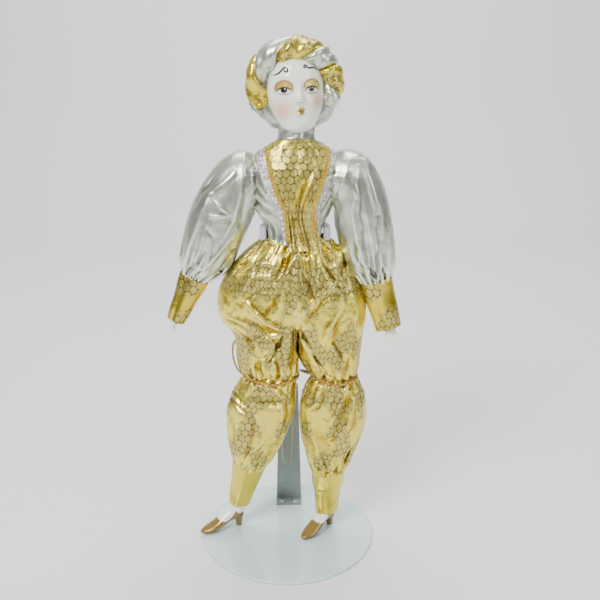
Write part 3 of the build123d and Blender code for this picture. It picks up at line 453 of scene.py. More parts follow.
def settle(points, width, steps, puff, drop, reach, seed, keep):
    """Lets a tube of cloth, cut width round, find its folds.

    The cloth starts on the given rings, is blown out by puff, pulled down by drop, and stays
    within reach of where it started. Lengthwise it is SPARE times as long as the way it covers.
    Its two end rings are held in pleats by their gathers.
    """
    rows, cols = points.shape[:2]
    start = points.copy()
    ring_way = np.linalg.norm(np.roll(start, -1, 1) - start, axis=2).sum(1)
    across = np.minimum(width, FULLEST * ring_way) / cols
    along = np.linalg.norm(np.diff(start.mean(1), axis=0), axis=1).mean()
    row = np.arange(rows)
    free = np.minimum(row, rows - 1 - row) * along
    slack = reach * limit(0.2 + free / 14.0)[:, None, None]
    held = (free < 0.1)[:, None, None]
    ripple = wander(points, 13.0, seed) * np.clip(free / 9.0, 0.1, 1)[:, None]
    place = lifted(points, ripple)
    links = []
    for du, dv, strength, is_bend in ((1, 0, 1.0, False), (0, 1, 1.0, False), (1, 1, 0.35, False),
        (-1, 1, 0.35, False), (4, 0, 0.5, True), (8, 0, 0.5, True), (0, 4, 0.6, True), (0, 9, 0.6, True)):
        way = np.linalg.norm(start[dv:] - start[: rows - dv],
            axis=2) * SPARE if dv else np.zeros((rows, cols))
        rest = np.hypot(du * across[: rows - dv, None], way) * (0.93 if is_bend else 1.0)
        links.append((du, dv, strength, is_bend, rest[..., None]))
    speed = np.zeros_like(points)
    for step in range(steps):
        before = place.copy()
        place = place + speed * 0.92 + outward(place) * puff
        place[..., 2] -= drop
        for _ in range(5):
            move = np.zeros_like(place)
            for du, dv, strength, is_bend, rest in links:
                gap = np.roll(place, -du, 1)[dv:] - place[: rows - dv]
                size = np.linalg.norm(gap, axis=2)[..., None] + 1e-9
                error = np.minimum(size - rest, 0.0) if is_bend else size - rest
                pull = gap * (error / size * 0.5 * strength)
                move[: rows - dv] += pull
                move[dv:] -= np.roll(pull, du, 1)
            place = place + move * 0.36
            offset = place - start
            far = np.linalg.norm(offset, axis=2)[..., None] + 1e-9
            place = start + offset * np.minimum(1.0, slack / far)
            if keep is not None:
                keep(place)
            place = np.where(held, start, place)
        speed = place - before
    soft = place.copy()
    soft[1:-1] = place[1:-1] * 0.4 + 0.15 * (place[:-2] + place[2:] + np.roll(place, 1, 1)[1:-1]
        + np.roll(place, -1, 1)[1:-1])
    return soft


def pleat(points, depths, counts, seed):
    """Presses pleats into rings: depths gives their depth at each row, in millimetres."""
    rng = np.random.default_rng(seed)
    cols = points.shape[1]
    angle = circle(cols)
    wobble = sum(rng.uniform(-0.5, 0.5) * np.sin(k * angle + rng.uniform(0, 6.3)) for k in range(1, 6))
    lean = np.linspace(0, 0.5, points.shape[0])[:, None]
    wave = np.sin(counts * (angle + 0.25 * wobble)[None] + lean)
    wave = boxy(wave) * (1 + 0.35 * np.sin(3 * angle + seed))
    return lifted(points, wave * np.asarray(depths)[:, None])


def press(points, folds, seed):
    """Presses folds into a limb's cloth, and others like them into its back.

    A fold is its height (below 0 for a valley), its width, then x and z of each point on its way.
    """
    middle = points.mean(1, keepdims=True)
    away = outward(points)
    front = limit((middle[..., 1] - points[..., 1]) / 3.0 + 0.6)
    total = np.zeros(points.shape[:2])
    for on_front, share in ((True, front), (False, limit((points[..., 1] - middle[..., 1]) / 4.0 - 0.2))):
        seen = points if on_front else 2 * middle - points
        sway = np.stack([wander(points, 17.0, seed), wander(points, 17.0, seed + 1)], -1)
        place = np.stack([seen[..., 0], points[..., 2]], -1) + sway * (0.6 if on_front else 1.4)
        for height, wide, *path in folds:
            line = smooth_rows(np.reshape(path, (-1, 2)), 100)
            low, high = line.min(0) - 3 * wide, line.max(0) + 3 * wide
            near = (share > 0.01) & (place > low).all(-1) & (place < high).all(-1)
            gap = np.linalg.norm(place[near][:, None] - line, axis=2)
            fade = np.sin(np.clip(gap.argmin(1) / 99.0, 0.04, 0.96) * math.pi) ** 0.5
            total[near] += share[near] * fade * 0.85 * height * np.exp(-((gap.min(1) / (1.15 * wide))
                ** 1.5))
    return points + away * total[..., None]


def mark_crests(made, points):
    """Stores where the cloth stands out in folds (above 0) or sinks between them (below 0), for the cloth's
    painted highlights and painted shade.
    """
    away = outward(points)
    crest = np.zeros(points.shape[:2])
    for step in (2, 4):
        around = (np.roll(points, step, 1) + np.roll(points, -step, 1)) / 2
        lengthwise = points.copy()
        lengthwise[step:-step] = (points[: -2 * step] + points[2 * step :]) / 2
        crest += ((2 * points - around - lengthwise) * away).sum(2) / (0.35 * step)
    layer = made.data.attributes.new("crest", "FLOAT", "POINT")
    layer.data.foreach_set("value", np.clip(crest, -1, 1).ravel())


def lay_paint(made, colours, gilt):
    """Stores the paint's colour, and how golden it is, at each point of a mesh."""
    colours = np.c_[colours, np.ones(len(colours))]
    made.data.color_attributes.new("paint", "FLOAT_COLOR", "POINT").data.foreach_set("color",
        colours.ravel())
    made.data.attributes.new("gilt", "FLOAT", "POINT").data.foreach_set("value", gilt)


def joined(parts):
    """The parts as one object, the first of them."""
    with bpy.context.temp_override(active_object=parts[0], selected_editable_objects=parts,
        selected_objects=parts):
        bpy.ops.object.join()
    return parts[0]


SIM_STEPS = 90


# ---- stand
STAND = (("base_plate", PLATE), ("stand_post", POST), ("height_bar", POST), ("post_rivets", STEEL),
    ("clip_rivet", STEEL), ("waist_clip", POST), ("clip_tip_right", VINYL), ("clip_tip_left", VINYL))
for node, paint in STAND:
    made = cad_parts[node]
    made.data.materials.clear()
    made.data.materials.append(paint)

# ---- head
HEAD_CENTRE = np.array([6.6, 1.0, 358.0])
YAW, ROLL = math.radians(7.0), math.radians(2.5)
# height above the eyes, half width, half depth, how far forward the middle lies
HEAD_ROWS = [
    (26.5, 0.4, 0.4, 0), (25.6, 6, 6.5, 0), (22, 13, 13.5, 0), (16, 17.8, 19, 0), (8, 19.9, 21, 0),
    (0, 20.2, 21, 0), (-6, 19.9, 20.5, 0.5), (-12, 18.7, 18.6, 2.2), (-18, 16.2, 15.4, 4.4),
    (-23, 13.2, 12.4, 6.2), (-26.4, 10.6, 9.6, 7.8), (-28.6, 7, 6.4, 9), (-29.7, 3.2, 3, 9.8),
    (-29.9, 0.4, 0.4, 10),
]


def bell(x, z, at_x, at_z, wide, high):
    """A round-topped bump on the face, 1 at its middle."""
    return np.exp(-(((x - at_x) / wide) ** 2) - ((z - at_z) / high) ** 2)


def relief(x, z):
    """How far the face's features stand forward of the plain oval."""
    side = np.abs(x)
    bridge = 1.0 + 3.4 * limit((3.0 - z) / 10.0) ** 1.3
    nose = bridge * np.exp(-((x / (1.7 + 0.14 * np.clip(3 - z, 0, 10))) ** 2))
    nose *= 1 / (1 + np.exp((z - 4.5) / 1.6)) / (1 + np.exp((-9.2 - z) / 0.55))
    form = nose + 1.1 * bell(side, z, 2.3, -7.9, 1.3, 1.1)
    form += -1.7 * bell(side, z, 9.2, 0.6, 5.2, 4.2) + 1.5 * bell(side, z, 9.3, 0.2, 3.8, 2.7)
    form += 0.45 * bell(side, z, 9.3, 2.6, 4.6, 1.0) + 0.5 * bell(side, z, 8.6, 7.4, 6.0, 2.6)
    form += 0.9 * bell(side, z, 11.0, -10.0, 5.5, 5.0)
    form += 1.5 * bell(x, z, 0.8, -13.6, 2.7, 1.3) + 1.4 * bell(x, z, 0.8, -16.2, 2.2, 1.2)
    form += -0.9 * bell(x, z, 0.8, -14.9, 2.6, 0.45) - 0.8 * bell(x, z, 0.6, -19.4, 3.4, 1.4)
    form += -0.35 * bell(x, z, 0.4, -11.2, 0.8, 1.6) + 1.3 * bell(x, z, 0.4, -24.0, 5.0, 3.4)
    return form


def from_head(local):
    """Head coordinates (to the doll's left, forward, up from the eyes) to the row frame, in mm."""
    x, forward, up = local[..., 0], local[..., 1], local[..., 2]
    tilted_x = x * math.cos(ROLL) - up * math.sin(ROLL)
    tilted_up = x * math.sin(ROLL) + up * math.cos(ROLL)
    return HEAD_CENTRE + np.stack([tilted_x * math.cos(YAW) + forward * math.sin(YAW),
        tilted_x * math.sin(YAW) - forward * math.cos(YAW), tilted_up], -1)


head_rows = smooth_rows(HEAD_ROWS, 250)


def skin(x, z):
    """The point on the front of the face at x and height z, in head coordinates."""
    wide, deep, ahead = (read(head_rows[::-1], z, column) for column in (1, 2, 3))
    inside = np.sqrt(np.clip(1 - (x / wide) ** 2, 0.0, 1))
    return np.stack([x, ahead + deep * inside + relief(x, z) * limit(2.2 * inside), z], -1)


front = np.linspace(-1.65, 1.65, 260)
back = np.linspace(1.65, 2 * math.pi - 1.65, 52)[1:-1]
turn = np.concatenate([front, back])
head = np.stack([head_rows[:, 1, None] * np.sin(turn), head_rows[:, 3, None]
    + head_rows[:, 2, None] * np.cos(turn), np.broadcast_to(head_rows[:, 0, None], (250, len(turn)))], -1)
head[..., 1] += relief(head[..., 0], head[..., 2]) * limit(2.2 * np.cos(turn))
x, forward, z = head[..., 0], head[..., 1], head[..., 2]
colour = np.ones((*x.shape, 3))
gilt = np.zeros(x.shape)


def brush(strength, tint, metal=0.0):
    """Lays a colour over the face's paint, strength 0..1 at each point."""
    strength = limit(strength) * (forward > 2)
    colour[:] = colour * (1 - strength[..., None]) + np.array(tint) * strength[..., None]
    gilt[:] = gilt * (1 - strength) + metal * strength


def disc(at_x, at_z, wide, high, edge=0.3):
    """1 inside an ellipse, falling to 0 over edge millimetres outside it."""
    out = np.sqrt(((x - at_x) / wide) ** 2 + ((z - at_z) / high) ** 2)
    return limit((1 - out) * min(wide, high) / edge + 0.5)


brush(0.95 * bell(x, z, -11.4, -14.0, 6.8, 6.8), (0.88, 0.48, 0.35))
brush(0.9 * bell(x, z, 12.8, -8.6, 5.8, 6.6), (0.90, 0.50, 0.38))
brush(0.4 * bell(x, z, -2.0, -14.5, 7.0, 5.0), (0.93, 0.70, 0.58))
for at_x, at_z, shade, lid, iris in ((-9.7, -0.1, (0.70, 0.33, 0.05), (0.80, 0.60, 0.10),
    (0.02, 0.012, 0.012)), (9.2, 0.1, (0.80, 0.55, 0.10), (0.95, 0.80, 0.28), (0.10, 0.05, 0.07))):
    brush(0.97 * disc(at_x, at_z + 0.9, 6.3, 5.7, 1.1) * (z > at_z - 2.2), shade, 0.6)
    brush(0.9 * disc(at_x + 0.7, at_z + 0.9, 4.8, 3.8, 1.2) * (z > at_z - 2.0), lid, 0.8)
    brush(disc(at_x, at_z - 1.5, 5.6, 2.0, 0.7), (0.92, 0.84, 0.80))
    almond = disc(at_x, at_z - 1.9, 5.4, 3.2, 0.3) * disc(at_x, at_z + 2.2, 6.2, 4.4, 0.3)
    brush(almond, (0.98, 0.97, 0.97))
    brush(disc(at_x - 0.2, at_z - 0.1, 2.15, 2.15) * almond, iris)
    brush(disc(at_x - 0.2, at_z - 0.1, 0.95, 0.95) * almond, (0.01, 0.01, 0.01))
    # painted highlight: a small white glint on each iris
    brush(disc(at_x + 0.45, at_z + 0.55, 0.42, 0.42) * almond, (1.0, 1.0, 1.0))
    brush(0.5 * disc(at_x, at_z - 2.5, 4.4, 0.5, 0.5), (0.50, 0.42, 0.50))
brush(disc(1.4, -14.6, 2.9, 2.6, 0.6) * 0.55, (0.86, 0.66, 0.30), 0.5)
brush(disc(0.2, -13.4, 1.7, 1.25, 0.4), (0.30, 0.22, 0.02), 0.6)
brush(disc(1.9, -13.4, 1.6, 1.25, 0.4), (0.45, 0.35, 0.04), 0.6)
brush(disc(1.2, -15.4, 1.8, 1.7, 0.4), (0.36, 0.27, 0.03), 0.6)
brush(disc(1.2, -14.4, 2.0, 0.3, 0.25), (0.22, 0.16, 0.02), 0.5)
for at_x, at_z in ((-0.4, -6.6), (-1.2, -9.0), (1.6, -8.5)):
    brush(disc(at_x, at_z, 0.5, 0.45, 0.2), (0.05, 0.03, 0.03))

porcelain_head = grid("porcelain_head_shell", from_head(head), PAINTED_GLAZE, None, True, True)
pad = np.ones((2, 3))
lay_paint(porcelain_head, np.vstack([colour.reshape(-1, 3), pad]), np.append(gilt.ravel(), [0, 0]))
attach(porcelain_head, "doll_body")
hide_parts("porcelain_head")

neck = tube("porcelain_neck", smooth_rows([(7, 2, 312), (7, 2, 322), (7, 1.4, 332), (7.4, 0, 343)], 16),
    8.6, GLAZE, "doll_body", 48)


def stroke(name, path, width):
    """A thin painted line on the face through (x, z) points, tapering at its ends."""
    path = smooth_rows(path, 60)
    line = from_head(skin(path[:, 0], path[:, 1]) + np.array([0, 0.2, 0]))
    taper = width * np.clip(np.minimum(np.arange(60), 59 - np.arange(60)) / 10.0, 0.3, 1)
    return tube(name, line, taper, ink, "doll_body", 8)


stroke("brow_right", [(-17.6, 9.6), (-15.2, 9.9), (-12.8, 10.8), (-11.2, 12.2), (-9.9, 13.6), (-8.4, 14.4),
    (-7.0, 13.6), (-7.0, 12.0), (-8.4, 11.6), (-9.2, 12.6), (-8.5, 13.4)], 0.6)
stroke("brow_left", [(5.5, 14.2), (4.9, 13.6), (4.2, 14.1), (4.4, 15.1), (5.5, 15.2), (6.3, 14.2),
    (7.4, 13.4), (9.6, 13.7), (12.0, 13.2), (14.2, 11.4)], 0.56)
for side, at_x in (("right", -9.7), ("left", 9.2)):
    stroke(f"upper_lash_{side}", [(at_x - 5.2, -1.4), (at_x - 3.4, 0.5), (at_x, 1.5), (at_x + 3.2, 0.6),
        (at_x + 5.0, -1.2)], 0.45)
    stroke(f"lid_line_{side}", [(at_x - 5.9, -0.6), (at_x - 4.8, 3.8), (at_x, 5.9), (at_x + 4.6, 4.0),
        (at_x + 5.9, 0.0)], 0.13)
    stroke(f"lower_lash_{side}", [(at_x - 4.2, -2.4), (at_x - 1.6, -3.3), (at_x + 1.6, -3.2),
        (at_x + 4.0, -2.2)], 0.15)

# ---- turban
LEAN = math.radians(26.0)
RING_CENTRE = np.array([6.2, 1.6, 360.4])
RING_AXIS = np.array([0.0, -math.cos(LEAN), -math.sin(LEAN)])
RING_UP = np.array([0.0, -math.sin(LEAN), math.cos(LEAN)])
# radius of the ring's middle line, and the roll's half width across and along the ring's axis
RING_RADIUS, ROLL_ACROSS, ROLL_ALONG = 27.2, 7.6, 9.6
FIRST, LAST = -32.0, 228.0
# where round the ring the gold strand's middle, or its edge, is on the outside: degrees, turns
TWIST = [
    (-40, -0.48), (-14.5, -0.25), (29, 0.25), (58.3, 0.75), (97.8, 1.25), (143, 1.75), (191.5, 2.25),
    (240, 2.68),
]


def strand(shift, seed):
    """One padded strand of the turban's twisted roll, from one temple over the top to the other."""
    degrees = np.linspace(FIRST, LAST, 320)
    phase = 2 * math.pi * (read(smooth_rows(TWIST, 300), degrees, 1) + shift)
    ends = np.clip(np.minimum(degrees - FIRST, (LAST - degrees) * 1.4) / 26.0, 0.02, 1) ** 0.5
    around = circle(96)
    bulge, width = boxy(np.cos(around)), boxy(np.sin(around))
    away, aside = 0.42 + 0.56 * bulge, 0.93 * width * (1 - 0.16 * limit(bulge))
    radial = away * np.cos(phase)[:, None] - aside * np.sin(phase)[:, None]
    axial = away * np.sin(phase)[:, None] + aside * np.cos(phase)[:, None]
    size = (0.35 + 0.65 * ends)[:, None]
    angle = np.radians(degrees[:, None] + 5.0 * (radial - 1.0))[..., None]
    outwards = np.array([1.0, 0, 0]) * np.cos(angle) + RING_UP * np.sin(angle)
    surface = (RING_CENTRE + outwards * (RING_RADIUS + ROLL_ACROSS * size * radial)[..., None]
        + RING_AXIS * (ROLL_ALONG * size * axial - 4.0 * (1 - ends[:, None]) ** 2)[..., None]
        - BACK * 11.0 * limit(-np.sin(angle)))
    dent = 0.2 * wander(surface, 18.0, seed, 1) - 0.45 * np.abs(wander(surface, 30.0, seed + 9, 1)) + 0.2
    folds = 0.2 * np.sin(4 * around + 1.6 * wander(surface, 30.0, seed + 4, 1))
    return lifted(surface, dent + folds)


for shift, name, paint, seed in ((0.0, "gold", GOLD_ROLL, 21), (0.5, "silver", SILVER, 34)):
    roll = grid(f"turban_{name}_strand", strand(shift, seed), paint, "doll_body", True, True)
    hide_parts(f"turban_{name}_roll")

# the snood behind the roll: how far back, and radius, from the face's edge to the nape
SNOOD = [
    (0, 18.6), (-2.6, 22.5), (-2.4, 27), (1, 30.6), (7, 32), (14, 30.8), (22, 26.4), (28, 20), (31.6, 12.6),
    (32.8, 6), (31.4, 2.4), (31.8, 0.4),
]
snood_rows = smooth_rows(SNOOD, 100)
around = circle(200)
back_share = limit((snood_rows[:, 0] + 2.0) / 33.0)[:, None]
flutes = np.sin(14 * around + 1.8 * np.sin(3 * around) + 1.2 * back_share)
flutes = boxy(flutes) * (0.12 + 1.5 * back_share**0.8 * (1 - back_share**6))
snood_radius = snood_rows[:, 1, None] + flutes * limit(snood_rows[:, 1, None] / 14.0)
cap = np.stack([6.6 + snood_radius * np.cos(around),
    np.broadcast_to(snood_rows[:, 0, None], snood_radius.shape), 358.6 + snood_radius * np.sin(around)], -1)
cap = cap + (cap - np.array([6.6, 6.0, 358.6])) * (0.014 * wander(cap, 26.0, 5))[..., None]
snood = grid("turban_snood", cap, SATIN, "doll_body", True, False, 0.4)
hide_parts("turban_cap")

# ---- bodice and its trims
# height, half width, half depth, middle x
BODICE = [
    (244, 25, 20, 5), (249, 20.6, 16.8, 5), (254, 19, 15.2, 5.2), (262, 21.4, 15.8, 5.4),
    (270, 26.4, 17, 5), (280, 30.2, 18.6, 4.4), (294, 31.6, 19, 4.6), (304, 33, 17.6, 5.6),
    (310, 32, 15.2, 6.4), (315, 27, 13.4, 6.8), (319.5, 19, 12.4, 7), (323, 12.6, 12, 7),
]


# how square the body is in plan: 2 is an ellipse
SQUARE = 2.4


def chest(x, z, stand=0.0):
    """The point on the bodice's front at x and height z, standing out by stand."""
    wide, deep, middle = (read(BODICE, z, column) for column in (1, 2, 3))
    inside = limit(1 - np.abs((x - middle) / (wide + stand)) ** SQUARE) ** (1 / SQUARE)
    return np.stack([x, -(deep + stand) * inside, z], -1)


# each crease: height, width, then x and z of each point on its way
BODICE_FOLDS = [
    (1.4, 1.3, -26, 294, -20, 284, -10, 276), (-1.4, 1.3, -27, 288, -20, 278, -9, 270),
    (1.2, 1.1, -25, 279, -16, 271, -8, 262), (-1.3, 1.2, -20, 270, -13, 264, -8, 256),
    (1, 1, -24, 301, -20, 292, -14, 286), (1.2, 1.2, 34, 292, 28, 280, 22, 270),
    (-1.3, 1.3, 33, 285, 27, 273, 22, 264), (1, 1, 34, 303, 31, 294, 26, 286),
]
rows = smooth_rows([(m, 0.0, h, w, d) for h, w, d, m in BODICE[1:]], 150)
torso = rings(rows, 260)
turn = circle(260)
swell = np.abs(np.cos(turn)) ** SQUARE + np.abs(np.sin(turn)) ** SQUARE
middle = torso.mean(1, keepdims=True)
torso[..., :2] = middle[..., :2] + (torso[..., :2] - middle[..., :2]) * (swell ** (-1 / SQUARE))[None, :,
    None]
height = rows[:, 2, None]
gathers = 1.0 * np.sin(20 * turn + 2.0 * np.sin(2 * turn)) * hump(height, 254.0, 9.0)
crush = -0.9 * np.abs(wander(torso * np.array([1, 1, 0.7]), 24.0, 11, 1)) + 0.4
taper = np.clip((323.0 - height) / 10.0, 0.15, 1)
torso = lifted(torso, (gathers + crush) * taper)
torso = press(torso, BODICE_FOLDS, 12)
bodice = grid("bodice_cloth", torso, SILVER, "doll_body", True, False, 0.35)
mark_crests(bodice, torso)
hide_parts("bodice", "stuffed_body")

# height, right and left edge
PANEL = [
    (324.6, -3, 17), (322.6, -7.6, 21.8), (318.6, -13.2, 28.4), (310.5, -12.2, 29.4), (297, -9.4, 26.6),
    (284, -5, 22), (275.4, -0.9, 19.4), (264, 0.9, 20.2), (252, 1.8, 22.4), (245.5, 2.6, 24),
]
panel_rows = smooth_rows(PANEL, 200)
share = np.linspace(0, 1, 110)
panel_x = panel_rows[:, 1, None] * (1 - share) + panel_rows[:, 2, None] * share
panel_z = np.broadcast_to(panel_rows[:, 0, None], panel_x.shape).copy()
panel = chest(panel_x, panel_z, 2.0)
fold_line = 0.80 - 0.30 * limit((300 - panel_z) / 30.0) + 0.10 * limit((270 - panel_z) / 20.0)
fold = 2.6 * hump(share, fold_line, 0.05) * limit((306 - panel_z) / 12.0)
fold -= 0.7 * hump(share, fold_line - 0.13, 0.06) * limit((300 - panel_z) / 12.0)
fold2 = 2.0 * hump(share, 0.16, 0.06) * limit((277 - panel_z) / 8.0)
fold2 -= 0.6 * hump(share, 0.30, 0.06) * limit((274 - panel_z) / 8.0)
ripple = 0.4 * wander(panel, 15.0, 44) * (1 + limit((275 - panel_z) / 20.0))
panel[..., 1] -= (fold + fold2 + ripple) * limit(np.minimum(share, 1 - share) / 0.06)
front_panel = grid("front_panel_cloth", panel, GOLD_PANEL, "doll_body", False, False, 0.35)
# where the panel stands out or sinks, for its material's painted highlights and painted shade
panel_crest = np.zeros(panel.shape[:2])
for step in (3, 6):
    panel_crest[:, step:-step] += (panel[:, : -2 * step, 1] + panel[:, 2 * step :, 1]
        - 2 * panel[:, step:-step, 1]) / (0.3 * step)
front_panel.data.attributes.new("crest", "FLOAT", "POINT").data.foreach_set("value",
    np.clip(panel_crest, -1, 1).ravel())
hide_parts("front_panel")

for side, sign in SIDES.items():
    column = 1 if sign < 0 else 2
    edge = smooth_rows(PANEL[2:-1], 150)
    line = chest(edge[:, column] + sign * 0.2, edge[:, 0], 2.6)
    angle = np.linspace(0, 60 * math.pi, 900)
    fine = smooth_rows(line, 900)
    braid_parts = []
    for turn_shift in (0.0, 2 * math.pi / 3, 4 * math.pi / 3):
        weave = fine + np.stack([1.15 * np.sin(angle + turn_shift),
            0.5 * np.sin(2 * angle + 2 * turn_shift), 0 * angle], 1)
        braid_parts.append(tube(f"gold_braid_{side}", weave, 0.52, BRAID, None, 8))
    braid = joined(braid_parts)
    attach(braid, "doll_body")
    if side == "right":
        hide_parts("gold_braids")
    lace_rows = smooth_rows([row for row in PANEL[2:] if row[0] > 250.0], 220)
    out = np.linspace(0.8, 7.6, 26)
    count = np.arange(220)
    slim = np.interp(lace_rows[:, 0], [252.0, 268.0, 300.0], [0.45, 0.65, 1.0])[:, None]
    scallop = slim * (1 + 0.09 * np.abs(np.sin(count * 0.23)))[:, None] * limit((count + 8) / 30.0)[:, None]
    lace_x = lace_rows[:, column, None] + sign * out * scallop
    lace_z = lace_rows[:, 0, None] - 2.4 * (out / 7.6) * limit(1 - count / 60.0)[:, None]
    frill = chest(lace_x, lace_z, 1.0)
    wave = np.sin(count * 0.46 + 0.9 * np.sin(count * 0.11))
    frill[..., 1] -= (0.5 + 1.7 * (0.5 + 0.5 * wave)[:, None]) * (out / 7.6) ** 0.7
    frill_piece = grid(f"lace_frill_{side}", frill, lace, "doll_body", False, False, 0.25)
    if side == "right":
        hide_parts("lace_frills")

collar_rows = smooth_rows([(7, 1.4, 320.5, 14.2, 13.2), (7, 1.4, 324.5, 13.0, 12.2),
    (7, 1.2, 330.0, 12.6, 11.6), (7.2, 1.0, 334.6, 12.9, 11.8)], 26)
collar_points = pleat(rings(collar_rows, 120), np.full(26, 0.22), 9, 3)
collar_points = lifted(collar_points, 0.45 * wander(collar_points, 12.0, 8))
collar = grid("collar_band", collar_points, SATIN, "doll_body", True, False, 1.0)
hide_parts("collar")

# ---- sleeves, cuffs and hands
# each station: outer x, outer z, inner x, inner z, half depth
SLEEVES = {
    "right": [
        (-18.5, 304, -18.5, 285, 10), (-25.5, 311.4, -22.6, 278, 14.5), (-34, 313, -25.4, 272, 16.5),
        (-46, 306.6, -27.8, 265, 17.6), (-56.6, 294.4, -30.8, 258.6, 18.5),
        (-65, 280.4, -34.2, 251.2, 18.8), (-71, 265, -37.6, 243.8, 18.4), (-75.2, 249, -41.2, 234.6, 17),
        (-78, 236.6, -47.6, 226, 14.2), (-79, 226, -58.8, 217.2, 9.8),
    ],
    "left": [
        (28.6, 304, 28.6, 287, 10), (36, 312, 33.2, 281, 14.4), (46, 313.8, 35.2, 279, 15.8),
        (56.5, 309, 36.4, 275.6, 17), (64.8, 298, 37.2, 269.6, 18.2), (71, 283.4, 38, 262.6, 18.6),
        (75.2, 266, 39.6, 253.2, 18.4), (78, 248, 42.6, 241.8, 17.2), (79.2, 233, 47.6, 229.6, 14.8),
        (78.4, 219.4, 55.8, 216.4, 11),
    ],
}
# each large fold: height, width, then x and z of each point on its way
SLEEVE_FOLDS = {
    "right": [
        (-2.2, 2.2, -42, 311, -53, 298, -68, 277.5), (1.3, 1.2, -45, 306.5, -57.5, 294, -67, 279.5),
        (1.8, 1.5, -29, 314, -31.5, 296, -34, 279.5, -39, 264.5, -47, 253),
        (1.8, 1.4, -53.5, 286.5, -60.5, 271, -69, 251, -75.5, 234),
        (1.2, 1.5, -34.5, 304.5, -42.5, 295, -52.5, 287.5),
        (1.8, 1.5, -35.5, 261, -47, 246.5, -58.5, 232.5, -65.5, 225.5),
        (-2, 1.7, -59.5, 245, -66.5, 235, -70, 228.5), (-2.2, 1.7, -38.5, 242, -47.5, 230.5, -55.5, 223),
        (0.8, 0.8, -55, 271, -47, 271, -39.5, 271.5), (0.8, 0.8, -50.5, 281, -45, 277.5, -39.5, 272.5),
        (-1.6, 1.8, -28.5, 301, -29.5, 279.5, -33.5, 262), (-1, 1.6, -58, 264, -53, 254, -56, 242),
    ],
    "left": [
        (1.2, 1.6, 46, 311, 40.5, 297, 37.5, 285), (-2.4, 3, 51, 306.5, 53, 279.5, 55.5, 253, 63, 227),
        (1.4, 1.4, 56.5, 310, 61.5, 288.5, 67.5, 271, 69, 255.5),
        (1.3, 1.3, 46, 299, 48, 264.5, 52.5, 244, 52, 229), (1.3, 1.3, 72, 266.5, 74.5, 249.5, 74, 232.5),
        (-1.6, 1.8, 65, 271, 67, 244, 65.5, 225.5), (1, 1, 58, 248, 60.5, 236, 60, 226),
        (-1.2, 1.4, 48, 250, 50, 240, 57, 229), (1, 1.2, 37.5, 282, 38.6, 268, 41, 254),
    ],
}
# the sewn widths of the cloth tubes
SLEEVE_WIDTH, TROUSER_WIDTH, CALF_WIDTH = 134.0, 198.0, 142.0
# each finger: place across the hand, length as a share of the hand's, radius
FINGERS = [
    (-3, 0.60, 1.05), (-1, 0.70, 1.2), (1, 0.68, 1.2), (2.9, 0.56, 1.1),
]
ARMS = {"right": dict(elbow=(-57.0, 1.0, 244.0), top=(-69.6, -1.0, 221.4), bottom=(-84.6, -3.0, 188.4),
    tip=(-97.6, -5.0, 177.4)), "left": dict(elbow=(59.8, 1.0, 240.0), top=(67.0, -1.0, 219.5),
    bottom=(77.4, -3.0, 182.8), tip=(84.4, -5.0, 168.0))}


def limb_rings(stations, count, cols):
    """Rings whose two side points follow an outline: outer, inner and half depth at each station."""
    rows = smooth_rows(stations, count)
    outer = np.stack([rows[:, 0], np.zeros(count), rows[:, 1]], 1)
    inner = np.stack([rows[:, 2], np.zeros(count), rows[:, 3]], 1)
    angle = circle(cols)
    centre, half = (outer + inner) / 2, (outer - inner) / 2
    points = centre[:, None] + half[:, None] * np.cos(angle)[None, :, None]
    points[..., 1] += rows[:, 4, None] * np.sin(angle)
    return points


def cloth_tube(name, points, width, paint, seed, folds, reach, keep, ends, pleats):
    """A gathered tube of cloth, simulated, as an open mesh with its real lengths as UVs."""
    travel = np.linspace(0, 1, len(points))
    depth = ends[0] * np.exp(-travel * 7) + ends[1] * np.exp(-(1 - travel) * 7)
    folded = pleat(points, depth, pleats, seed)
    if keep is not None:
        keep(folded)
    cloth = press(settle(folded, width, SIM_STEPS, 0.04, 0.012, reach, seed, keep), folds, seed)
    made = grid(name, cloth, paint)
    mark_crests(made, cloth)
    return made


